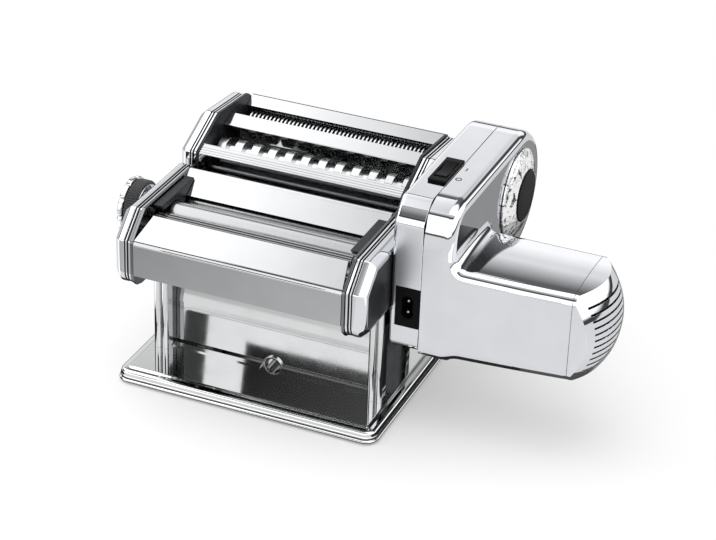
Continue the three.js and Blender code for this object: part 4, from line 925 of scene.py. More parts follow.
@dataclass(frozen=True)
class Card:
    """Flat card that only mirrors see.

    Low and high are its near left and far right corners in metres, levels its brightness at the left
    and the right end, height its place over the table top, and lean how far its far edge is shifted
    to the right.
    """

    name: str
    low: Pair
    high: Pair
    levels: Pair
    height: float = 0.0005
    lean: float = 0.0

    def corners(self) -> list[Triple]:
        """Its four corners.

        Returns:
            Near left, near right, far right and far left, in metres.
        """
        (left, near), (right, far) = self.low, self.high
        flat = [(left, near), (right, near), (right + self.lean, far), (left + self.lean, far)]
        return [(x, y, self.height) for x, y in flat]


@dataclass(frozen=True)
class Room:
    """Light zones of the room, each a ramp over a direction's height or over how far it points aside."""

    sweep: Ramp = Ramp(0, 1.08, 0.02, 0.14)
    sweep_foot: Ramp = Ramp(0, 1, 0.07, 0.11)
    sweep_end: Ramp = Ramp(1, 0.04, 0.0, 0.12)
    sweep_top: Ramp = Ramp(1, 0.15, 0.5, 0.62)
    sweep_glow: Ramp = Ramp(1.4, 1, 0.36, 0.46)
    side_box: Ramp = Ramp(0, 1.9, 0.42, 0.5)
    side_foot: Ramp = Ramp(0, 1, 0.05, 0.12)
    ceiling: Ramp = Ramp(0, 2.2, 0.8, 0.9)
    ceiling_edge: Ramp = Ramp(0, 1, 0.8, 0.9)
    zenith: Ramp = Ramp(0, 0.5, 0.9, 0.94)
    front: Ramp = Ramp(1, 0, -0.45, -0.2)
    front_slot: Ramp = Ramp(0.06, 0.9, 0.74, 0.9)
    box_foot: Ramp = Ramp(0, 1.9, -0.01, 0.03)
    box_top: Ramp = Ramp(1, 0, 0.60, 0.66)
    box_end: Ramp = Ramp(1, 0.12, 0.25, 0.4)
    dimmest: float = 0.07
    fill: float = 0.85


@dataclass
class Studio:
    """Camera, floor and light. The camera's place and angles are those of the photograph."""

    place: Triple = (572.5, -1283.9, 861.3)
    azimuth: float = 21.93
    elevation: float = 28.99
    roll: float = 2.18
    lens: float = 114.31
    sensor: float = 36
    clip_end: float = 50
    floor_half: float = 4.0
    floor_shift: Triple = (-0.06, -0.02, 0)
    floor_tone: Tone = (0.92, 0.92, 0.92)
    floor_white: Ramp = Ramp(0.3, 1, 0.15, 0.36)
    lamp_place: Triple = (-0.25, -0.25, 1.4)
    lamp_aim: Triple = (0.05, 0.05, 0.1)
    lamp_size: float = 1.5
    lamp_watts: float = 12
    room: Room = Room()
    cards: tuple[Card, ...] = (
        Card("grey_card_behind", (0.175, 0.055), (0.268, 0.5), (0.42, 0.42)),
        Card("dark_mat", (-0.16, -0.079), (0.175, 0.5), (0.03, 0.03)),
        Card("dark_mat_right", (0.175, -0.079), (0.26, 0.055), (0.12, 0.12)),
        Card("grey_card_front", (-0.25, -0.5), (0.015, -0.2), (0.5, 0.9)),
        Card("white_card_left", (-0.5, -0.2), (-0.16, 0.3), (1.7, 1.7)),
        Card("white_card_right", (0.29, -0.3), (0.6, -0.07), (1.7, 1.7)),
        Card("strip_card_front", (-0.217, -0.31), (-0.194, -0.165), (0.1, 0.1), 0.151, 0.064),
        Card("dark_card_front", (-0.131, -0.25), (0.0, -0.16), (0.02, 0.12), 0.151, 0.0365),
        Card("ceiling_card", (-0.4, -0.4), (-0.1, 0.7), (2.4, 0.9), 0.95),
        Card("ceiling_card_left", (-1.4, -0.6), (-0.4, 0.7), (2.4, 2.4), 0.95),
    )

    def camera(self) -> None:
        """Camera turned by azimuth and elevation towards the machine and rolled about its own axis."""
        a, e, r = (math.radians(v) for v in (self.azimuth, self.elevation, self.roll))
        ahead = Vector((-math.sin(a) * math.cos(e), math.cos(a) * math.cos(e), -math.sin(e)))
        level = Vector((math.cos(a), math.sin(a), 0))
        upright = level.cross(ahead)
        right = level * math.cos(r) + upright * math.sin(r)
        up = upright * math.cos(r) - level * math.sin(r)
        data = bpy.data.cameras.new("studio_camera")
        data.lens = self.lens
        data.sensor_width = self.sensor
        data.clip_end = self.clip_end
        camera = bpy.data.objects.new("studio_camera", data)
        turn = Matrix((right, up, -ahead)).transposed().to_4x4()
        camera.matrix_world = Matrix.Translation(Vector(self.place) * MM) @ turn
        bpy.context.scene.collection.objects.link(camera)
        bpy.context.scene.camera = camera

    @staticmethod
    def sheet(name: str, corners: Sequence[Triple]) -> tuple[bpy.types.Object, Paint]:
        """Four-cornered sheet, in metres, and the empty node tree of its material.

        Args:
            name: Name of sheet and material.
            corners: Corners in metres.

        Returns:
            The sheet and its tree.
        """
        mesh = bpy.data.meshes.new(name)
        mesh.from_pydata(corners, [], [(0, 1, 2, 3)])
        sheet = bpy.data.objects.new(name, mesh)
        bpy.context.scene.collection.objects.link(sheet)
        material = bpy.data.materials.new(name)
        mesh.materials.append(material)
        return sheet, Paint(material)

    def floor(self) -> None:
        """White floor that keeps the machine's shadow near it and turns into plain white far away."""
        size = self.floor_half
        corners = [(-size, -size, 0), (size, -size, 0), (size, size, 0), (-size, size, 0)]
        floor, paint = self.sheet("studio_floor", corners)
        where = {"Vector": paint.node("ShaderNodeTexCoord", output="Object"), "Location": self.floor_shift}
        middle = paint.node("ShaderNodeMapping", {}, where)
        away = paint.node("ShaderNodeVectorMath", {"operation": "LENGTH"}, {0: middle}, "Value")
        camera, glossy, clear = (paint.ray(kind) for kind in ("Camera", "Glossy", "Transmission"))
        seen = camera.larger(glossy).larger(clear)
        white = paint.glow(1.0)
        matt = paint.node("ShaderNodeBsdfDiffuse", {}, {"Color": (*self.floor_tone, 1)})
        far = self.floor_white.level(away) * seen
        paint.finish(paint.node("ShaderNodeMixShader", {}, {0: far, 1: matt, 2: white}))

    def world(self) -> None:
        """White sweep behind the machine, a bright ceiling and a soft box in a grey room in front.

        The light from a direction depends on its height (the sine of its elevation) and on how far
        it points to the right and to the back, away from the camera. Only mirrors see the zones: the
        camera sees white, and matt pieces get one even fill.
        """
        world = bpy.data.worlds.new("studio_room")
        bpy.context.scene.world = world
        paint, room = Paint(world), self.room
        direction = paint.node("ShaderNodeTexCoord", output="Generated")
        east, north, height = (paint.part_of(direction, part) for part in "XYZ")
        foot = room.sweep_foot.level(height)
        end = room.sweep_end.level(east - north * 0.2)
        top = room.sweep_top.level(height) * room.sweep_glow.level(height)
        back = room.sweep.level(north + east * 0.1) * foot * end * top
        right = room.side_box.level(east) * room.side_foot.level(height)
        ceiling = room.ceiling.level(height)
        front = room.front.level(north)
        edge = room.ceiling_edge.level(height * (1 - front) + front)
        slot = room.front_slot.level(height) * front
        box = room.box_foot.level(height) * room.box_top.level(height)
        aside = room.box_end.level(east * 0.95 + north * 0.3)
        upper = (ceiling * (1 - front) * edge).larger(room.zenith.level(height))
        boxes = back.larger(upper).larger(slot).larger(box * aside * front)
        lit = boxes.larger(right).larger(room.dimmest)
        camera, mirrored = paint.ray("Camera"), paint.ray("Glossy")
        soft = lit * mirrored + room.fill * (1 - mirrored)
        strength = (soft * (1 - camera)).larger(camera)
        paint.finish(paint.glow(strength, "Background"), "World")

    def lay_card(self, plan: Card) -> None:
        """Makes a card whose glow runs evenly from its left to its right level.

        Args:
            plan: Sizes and levels of the card.
        """
        card, paint = self.sheet(plan.name, plan.corners())
        across = paint.part_of(paint.node("ShaderNodeTexCoord", output="Object"), "X")
        paint.finish(paint.glow(Ramp(*plan.levels, plan.low[0], plan.high[0]).level(across)))
        card.visible_camera = False
        card.visible_diffuse = False
        card.visible_shadow = False
        card.visible_transmission = False

    def lamp(self) -> None:
        """Square soft lamp turned to the machine, which mirrors do not see."""
        data = bpy.data.lights.new("soft_top", "AREA")
        data.shape = "SQUARE"
        data.size = self.lamp_size
        data.energy = self.lamp_watts
        lamp = bpy.data.objects.new("soft_top", data)
        lamp.visible_glossy = False
        towards = Vector(self.lamp_aim) - Vector(self.lamp_place)
        turn = towards.to_track_quat("-Z", "Y").to_matrix().to_4x4()
        lamp.matrix_world = Matrix.Translation(Vector(self.lamp_place)) @ turn
        bpy.context.scene.collection.objects.link(lamp)

    def build(self) -> None:
        """Sets up the camera, the floor, the room, the lamp and the cards."""
        self.camera()
        self.floor()
        self.world()
        self.lamp()
        for plan in self.cards:
            self.lay_card(plan)
        bpy.context.scene.view_settings.view_transform = "Standard"
        log.info("studio ready")


# ---- base and stand


@dataclass
class BasePan:
    """Pressed pan with a stepped rim on four rubber feet.

    Rim and hollow are rows of height and inset from the outline, outside and underneath; foot_line
    holds rows of height and radius.
    """

    width: float = 200
    depth: float = 140
    corner: float = 10
    foot_x: float = 83
    foot_y: float = 53
    rim: Line = (
        (1.5, 1.9), (1.5, 0.7), (1.9, 0.15), (2.5, 0), (3.0, 0.2), (3.3, 0.75), (3.6, 1.15), (4.6, 1.2),
        (4.9, 0.95), (5.3, 0.8), (5.8, 0.95), (6.1, 1.3), (7.6, 1.45), (8.6, 1.75), (9.3, 2.4), (9.75, 3.3),
        (9.9, 4.4), (9.95, 6.2), (10.1, 6.9), (10.5, 7.5), (10.85, 8.1), (11, 9),
    )
    hollow: Line = ((9.4, 10), (8.3, 6.6), (8.0, 4), (7.2, 3.1), (1.5, 2.9))
    foot_line: Line = (
        (0, 0), (0, 5), (0.5, 5.4), (0.5, 6.2), (0, 6.6), (0, 9), (2.5, 10.5), (9.0, 10.5), (9.0, 0),
    )

    def corners(self) -> list[Triple]:
        """Corners of the pan's outline with their radius."""
        x, y, r = self.width / 2, self.depth / 2, self.corner
        return [(-x, -y, r), (x, -y, r), (x, y, r), (-x, y, r)]

    def rings(self, rows: Line) -> np.ndarray:
        """One ring for each height and inset.

        Args:
            rows: Rows of height and inset.

        Returns:
            The rings, one for each row.
        """
        return np.stack([
            Axis.Z.lay(rounded(inset(self.corners(), distance), 12), np.array(height))
            for height, distance in rows
        ])

    def pan(self) -> None:
        """The pan: hollow from below, rim outside and top face in one closed surface."""
        part = Part("frame", "chromed_steel", FINISHES.mirror, ("base_plate",))
        lofted("base_pan", part, self.rings(self.hollow + self.rim), Edges(sharp=50))

    def feet(self) -> None:
        """Rubber feet with a rounded sole and two grooves."""
        profile = softened(self.foot_line, 0.6, 3)
        for side_y, row in ((-1, "front"), (1, "rear")):
            for side_x, end in ((-1, "left"), (1, "right")):
                part = Part("frame", "rubber", FINISHES.rubber, (f"foot_{row}_{end}",))
                centre = (side_x * self.foot_x, side_y * self.foot_y)
                turned(f"rubber_foot_{row}_{end}", part, Axis.Z, centre, profile, 64, Edges(sharp=60))

    def build(self) -> None:
        """Makes the pan and its feet."""
        self.pan()
        self.feet()


@dataclass
class Stand:
    """Side plates, ribbed legs and the front panel with its clamp arch.

    The panel's rows are its flange, toe, shin, fold and top as Y and Z, on the outer face and behind.
    """

    leg_from: float = 77.5
    leg_width: float = 11.5
    leg_depth: float = 8
    ridge: float = 2.4
    low: float = 11
    high: float = 85.5
    front: float = -31
    rear: float = 24
    panel_half: float = 77.2
    panel_line: Line = ((-24, 12), (-19.5, 12), (-17, 13.5), (-17, 45.5), (-9.5, 96))
    panel_back: Line = ((-24, 11), (-19.2, 11), (-16, 13.1), (-16, 45.5), (-8.5, 96))
    arch_radius: float = 6
    arch_rim: float = 1.6
    arch_depth: Pair = (-18.6, -1)

    def leg_section(self, face: float, inwards: int) -> np.ndarray:
        """Two half-round ridges on the face, with a narrow valley between, and a flat back.

        Args:
            face: Y of the ridges' tops.
            inwards: 1 where the back lies behind the face, -1 where it lies in front.

        Returns:
            The closed outline as X and Y.
        """
        half = self.leg_width / 4
        angle = np.linspace(math.pi, 0, 15)
        ridges = [
            np.stack([
                self.leg_from + half * (1 + 2 * k) + half * 0.96 * np.cos(angle),
                face + inwards * self.ridge * (1 - np.sin(angle)),
            ], -1)
            for k in (0, 1)
        ]
        back = face + inwards * self.leg_depth
        tail = [[self.leg_from + self.leg_width, back], [self.leg_from, back]]
        return np.concatenate([*ridges, np.array(tail)])

    def legs(self) -> None:
        """Four legs, each a section drawn upwards."""
        for face, inwards, row in ((self.front, 1, "front"), (self.rear, -1, "rear")):
            section = self.leg_section(face, inwards)
            for side, end in ((1, "right"), (-1, "left")):
                part = Part("frame", "chromed_steel", FINISHES.mirror, (f"leg_{row}_{end}",))
                outline, edges = section * np.array([side, 1]), Edges(0.3, 2, sharp=40)
                drawn(f"ribbed_leg_{row}_{end}", part, outline, self.low, self.high, edges, Axis.Z)

    def panel(self) -> None:
        """Front panel with a foot flange, a shallow fold and the arched opening for the clamp."""
        w, r, foot = self.panel_half, self.arch_radius + self.arch_rim, self.low
        low = math.asin((self.panel_line[2][1] - foot) / r)
        angle = np.linspace(math.pi - low, low, 15)
        a = math.sqrt(r * r - 1)
        layers = []
        for flange, toe, shin, fold, top in (self.panel_line, self.panel_back):
            rows = [(x, *row) for row in (flange, toe) for x in (-w, -a, a, w)]
            rows += [(x, *row) for row in (shin, fold, top) for x in (-w, w)]
            rows += [(r * math.cos(t), shin[0], foot + r * math.sin(t)) for t in angle]
            layers.append(np.array(rows))
        arc = list(range(14, 14 + len(angle)))
        flange_faces = [[0, 1, 5, 4], [2, 3, 7, 6], [4, 5, arc[0], 8], [6, 7, 9, arc[-1]]]
        patch = Patchwork()
        patch.plate(*layers, [*flange_faces, [8, *arc, 9, 11, 10], [10, 11, 13, 12]])
        part = Part("frame", "chromed_steel", FINISHES.mirror, ("front_panel",))
        part.place("front_panel_sheet", patch, Edges(sharp=4))

    def arch(self) -> None:
        """Half-round collar of the clamp's opening."""
        half_turn = spokes(48)[:25]
        outer = half_turn * (self.arch_radius + self.arch_rim)
        ring = np.concatenate([outer, half_turn[::-1] * self.arch_radius]) + np.array([0, self.low])
        tube = np.empty((2, len(ring), 3))
        tube[..., 0], tube[..., 2] = ring[:, 0], ring[:, 1]
        tube[..., 1] = np.array(self.arch_depth)[:, None]
        part = Part("frame", "chromed_steel", FINISHES.mirror)
        lofted("clamp_arch", part, tube, Edges(0.3, 3, sharp=40))

    def build(self) -> None:
        """Makes the stand's pieces."""
        self.legs()
        plate = Part("frame", "bare_steel", FINISHES.satin)
        for end in ("left", "right"):
            softened_copy(f"side_plate_{end}", plate, 0.3)
        self.panel()
        self.arch()


# ---- head


@dataclass
class EndCover:
    """Moulded end cover: a grooved rim, a bevelled band and a flat face, open towards the side plate.

    Steps are rows of length from the inner end and inset from the outline. Grooves are the spans of
    that length whose faces get a near-black finish, painted shade in the grooves.
    """

    inner: float = 79.8
    wall: float = 2.0
    lip: float = 0.9
    grooves: Line = ((1.75, 2.95), (3.95, 4.95))
    steps: Line = (
        (0, 0.5), (0.3, 0.1), (1.5, 0), (1.7, 0.2), (1.8, 1.1), (2.9, 1.1), (3.0, 0.3), (3.2, 0.15),
        (3.7, 0.15), (3.9, 0.3), (4.0, 1.0), (4.9, 1.0), (5.0, 0.2), (5.3, 0), (8.0, 0), (8.6, 0.08),
        (9.2, 0.3), (9.8, 0.75), (12.2, 3.1), (12.8, 3.75), (13.4, 4.6), (13.8, 5.5), (14, 6.6),
    )

    def build(
        self, name: str, body: str, node: str, side: int, corners: Outline,
        holes: Sequence[Triple], dark_face: bool = False,
    ) -> None:
        """Lofts the rim and bevel and closes the face round its holes.

        Args:
            name: Piece name.
            body: Body it rides on.
            node: Solid it stands for.
            side: 1 for the right end, -1 for the left.
            corners: Outline corners of the plate behind it.
            holes: Centre and radius of each hole in the face.
            dark_face: Whether the flat face is of black plastic.
        """
        lines = [
            (self.inner + along, rounded(inset(corners, self.lip + distance), 7))
            for along, distance in self.steps
        ]
        rings = np.stack([Axis.X.lay(line, np.array(side * x)) for x, line in lines])
        patch = Patchwork()
        patch.loft(rings, (False, False))
        face_x, face = lines[-1]
        patch.holed(Axis.X, face, side * face_x, [circle(centre, radius) for *centre, radius in holes])
        part = Part(body, "chromed_plastic", FINISHES.plated, (node,))
        mesh = part.place(name, patch, Edges(wall=self.wall, sharp=38)).data
        # painted shade: faces inside the spans of the grooves get the near-black finish that stands for the
        # shade in the grooves
        mesh.materials.append(FINISHES.groove_shade.material())
        middle = np.empty(len(mesh.polygons) * 3)
        mesh.polygons.foreach_get("center", middle)
        along = np.abs(middle.reshape(-1, 3)[:, 0]) / MM - self.inner
        in_groove_shade = sum((low < along) & (along < high) for low, high in self.grooves)
        kinds = in_groove_shade.astype(np.int32)
        if dark_face:
            mesh.materials.append(FINISHES.fence.material())
            kinds[along > self.steps[-1][0] - 0.05] = 2
        mesh.polygons.foreach_set("material_index", kinds)


@dataclass
class Head:
    """Roller frame: end covers, bent sheets, fences, scraper, rods and the smooth rollers.

    Places are Y and Z. A line is the section of a sheet, or rows of length and radius of a pin.
    """

    half: float = 77.2
    thickness: float = 1.0
    roller_radius: float = 12.5
    roller_half: float = 75
    shaft: float = 4.5
    front_axis: Pair = (-33.4, 121.5)
    rear_axis: Pair = (-3.89001, 117.35264)
    front_ends: Pair = (-87.2, 86.2)
    rear_ends: Pair = (-88.9, 80.5)
    drive_hole: float = 6.6
    corners: Outline = (
        (16, 85.5, 3), (16, 140.5, 3), (-62.5, 140.5, 3), (-81.5, 123, 3), (-81.5, 85.5, 13),
    )
    pin_line: Line = ((92.5, 0), (92.5, 3), (99.8, 3), (99.8, 0))
    hood_line: Line = ((-81.5, 97.5), (-81.5, 123.3), (-61.0, 134.4))
    hood_lip: Line = (
        (-60.2, 134.9), (-59.4, 134.9), (-58.9, 134.0), (-58.5, 133.0), (-57.2, 133.0), (-56.7, 133.6),
        (-56.2, 133.0), (-54.2, 133.0), (-53.7, 133.6), (-53.2, 133.0), (-51.2, 133.0), (-50.7, 133.6),
        (-50.2, 133.0), (-48, 133.0), (-48, 130.6),
    )
    hood_taper: float = 4.5
    hood_heights: Triple = (97.5, 124, 134.5)
    table_line: Line = (
        (-14.5, 130.6), (3.4, 140.35), (4.4, 141.3), (6.0, 141.6), (7.2, 141.0), (7.2, 127.6),
    )
    rear_line: Line = ((10.7, 124), (15.7, 124), (15.7, 92))
    rod_half: float = 77.5
    rod_sizes: tuple[tuple[str, float, Pair], ...] = (
        ("tie_rod_front", 3, (-70, 98)), ("tie_rod_rear", 3, (6, 98)), ("hanger_rod", 2.5, (12.6, 128.5)),
    )

    def covers(self) -> None:
        """Left cover behind the knob; right cover with the drive's hole and two pins."""
        EndCover().build("left_end_cover", "frame", "head_cover_left", -1, self.corners, [])
        holes = [(*DRIVE_AXIS, self.drive_hole)]
        EndCover().build("right_end_cover", "frame", "head_cover_right", 1, self.corners, holes, True)
        pin = Part("frame", "chromed_plastic", FINISHES.plated)
        for where, centre in MOTOR_PINS.items():
            turned(f"motor_pin_{where}", pin, Axis.X, centre, softened(self.pin_line, 0.8, 4), 40)

    def sheet(self, name: str, node: str, line: np.ndarray, widths: np.ndarray | float) -> None:
        """Bent sheet along X, whose half width may change along its line.

        Args:
            name: Piece name.
            node: Solid it stands for.
            line: Outer line of the section.
            widths: Half width at each point of the line, or one for all.
        """
        section = sheet_section(line, -self.thickness)
        half = np.broadcast_to(np.asarray(widths, float), (len(line),))
        reach = np.concatenate([half, half[::-1]])
        rings = np.stack([Axis.X.lay(section, side * reach) for side in (-1, 1)])
        part = Part("frame", "chromed_steel", FINISHES.sheet, (node,))
        lofted(name, part, rings, Edges(0.2, 2, sharp=40))

    def sheets(self) -> None:
        """Front cover with its hemmed lip, which narrows upwards; dough plate; rear cover."""
        hood = np.concatenate([softened(self.hood_line, 6, 10), self.hood_lip])
        narrow = self.half - self.hood_taper
        widths = np.interp(hood[:, 1], self.hood_heights, [self.half, self.half, narrow])
        self.sheet("front_hood", "head_front_cover", hood, widths)
        self.sheet("dough_table", "dough_plate", softened(self.table_line, 0.7, 4), self.half)
        self.sheet("rear_hood", "head_rear_cover", softened(self.rear_line, 1.2, 4), self.half)

    def roller(self, name: str, node: str, body: str, centre: Pair, ends: Pair) -> None:
        """Smooth roller with ground journals and broken edges.

        Args:
            name: Piece name.
            node: Solid it stands for.
            body: Body it rides on.
            centre: Place of its axis.
            ends: X of both ends of its shaft.
        """
        half, radius, shaft = self.roller_half, self.roller_radius, self.shaft
        line = [(ends[0], 0), (ends[0], shaft), (-half, shaft), (-half, radius)]
        line += [(half, radius), (half, shaft), (ends[1], shaft), (ends[1], 0)]
        part = Part(body, "bare_steel", FINISHES.roller, (node,))
        turned(name, part, Axis.X, centre, softened(line, 0.5, 3), 128)

    def rods(self) -> None:
        """Round tie rods between the side plates."""
        for node, radius, centre in self.rod_sizes:
            part = Part("frame", "bare_steel", FINISHES.shaft, (node,))
            turned(f"{node}_round", part, Axis.X, centre, rod_line(self.rod_half, radius), 40)

    def build(self) -> None:
        """Makes the head's pieces."""
        self.covers()
        self.sheets()
        self.roller("front_smooth_roller", "roller_front", "front_roller", self.front_axis, self.front_ends)
        self.roller("rear_smooth_roller", "roller_rear", "rear_roller", self.rear_axis, self.rear_ends)
        self.rods()
        fence = Part("frame", "dark_plastic", FINISHES.fence)
        for end in ("left", "right"):
            softened_copy(f"dough_fence_{end}", fence, 0.6)
        softened_copy("roller_scraper", Part("frame", "bare_steel", FINISHES.satin), 0.2)


@dataclass
class Knob:
    """Gap knob: neck ring, knurled grip and a scalloped flange with a dished face.

    Lines are rows of length along X and radius.
    """

    centre: Pair = (-24, 118.5)
    scallops: int = 10
    scallop_depth: float = 1.3
    scallop_from: float = 15.5
    scallop_fade: float = 4
    knurls: int = 64
    knurl_depth: float = 0.45
    flange_line: Line = (
        (-105.9, 0), (-105.9, 18.6), (-106.3, 20.4), (-107.0, 21.0), (-109.0, 21.0), (-109.8, 20.5),
        (-110.1, 19.6), (-110.1, 15.2), (-109.3, 14.4), (-109.0, 12.5), (-109.0, 4.4), (-108.4, 3.9),
        (-108.4, 0),
    )
    grip_ends: Pair = (-105.9, -97.1)
    grip_radius: float = 18.9
    grip_swell: float = 0.5
    grip_land: float = 0.9
    neck_line: Line = (
        (-97.3, 0), (-97.3, 17.4), (-96.2, 17.4), (-95.9, 14), (-94.1, 14), (-94.1, 0),
    )

    def flange(self) -> None:
        """Flange whose rim is notched: the radius drops where the cosine of ten times the angle peaks."""
        rows = softened(self.flange_line, 0.35, 3)
        rim = np.clip((rows[:, 1] - self.scallop_from) / self.scallop_fade, 0, 1)

        def notch(angle: np.ndarray, row: np.ndarray) -> np.ndarray:
            """Depth of the notches at an angle, fading towards the middle."""
            peak = np.clip(np.cos(self.scallops * angle), 0, 1) ** 5
            return -self.scallop_depth * peak * rim[row]

        part = Part("knob", "chromed_plastic", FINISHES.plated, ("adjusting_knob",))
        turned("knob_flange", part, Axis.X, self.centre, rows, 240, Edges(sharp=45), notch)

    def grip(self) -> None:
        """Knurled grip: a fine ripple of the radius, with a plain land at both ends."""
        low, high = self.grip_ends
        along = np.linspace(low, high, 15)
        land = np.clip(np.minimum(along - low, high - along) / self.grip_land, 0, 1)
        rows = np.column_stack([along, self.grip_radius + self.grip_swell * land])
        rows = np.concatenate([[(low, 0)], rows, [(high, 0)]])
        depth = np.concatenate([[0], land, [0]])

        def knurl(angle: np.ndarray, row: np.ndarray) -> np.ndarray:
            """Ripple of the radius."""
            return self.knurl_depth * np.cos(self.knurls * angle) * depth[row]

        part = Part("knob", "chromed_plastic", FINISHES.knurl)
        turned("knob_grip", part, Axis.X, self.centre, rows, 448, Edges(sharp=70), knurl)

    def neck(self) -> None:
        """Plated neck ring with a step."""
        part = Part("knob", "chromed_plastic", FINISHES.plated)
        rows = softened(self.neck_line, 0.35, 3)
        turned("knob_neck", part, Axis.X, self.centre, rows, 96, Edges(sharp=45))

    def build(self) -> None:
        """Makes the knob's pieces."""
        self.flange()
        self.grip()
        self.neck()


# ---- cutter attachment


@dataclass(frozen=True)
class RingSet:
    """Sizes of one kind of cutter roller, and the half width of a finger of the comb under it."""

    tip: float
    root: float
    pitch: float
    side: float
    discs: int
    finger: float
    count: int

    def places(self, second: bool) -> np.ndarray:
        """Middle of each disc; the second roller of a pair is half a pitch across with one disc more."""
        count = self.discs + (1 if second else 0)
        return self.pitch * (np.arange(count) - (count - 1) / 2)

    def profile(self, second: bool, low: float, high: float, shaft: float) -> np.ndarray:
        """Radius along the roller: discs with slightly broken edges between grooves.

        Args:
            second: Whether it is the second roller of its pair.
            low: X of the left end.
            high: X of the right end.
            shaft: Radius of the shaft.

        Returns:
            Rows of length and radius.
        """
        half = self.pitch / 4 - self.side / 2
        broken = min(0.25, half / 3)
        body = self.pitch * self.discs / 2 + self.pitch / 4
        middle = self.places(second)[:, None]
        offsets = np.array([-half, -half, -half + broken, half - broken, half, half])
        radii = np.array([self.root, self.tip - broken, self.tip, self.tip, self.tip - broken, self.root])
        discs = np.stack([middle + offsets, np.broadcast_to(radii, (len(middle), 6))], -1).reshape(-1, 2)
        ends = [(low, 0), (low, shaft), (-body, shaft), (-body, self.root)]
        tail = [(body, self.root), (body, shaft), (high, shaft), (high, 0)]
        return np.concatenate([ends, discs, tail])


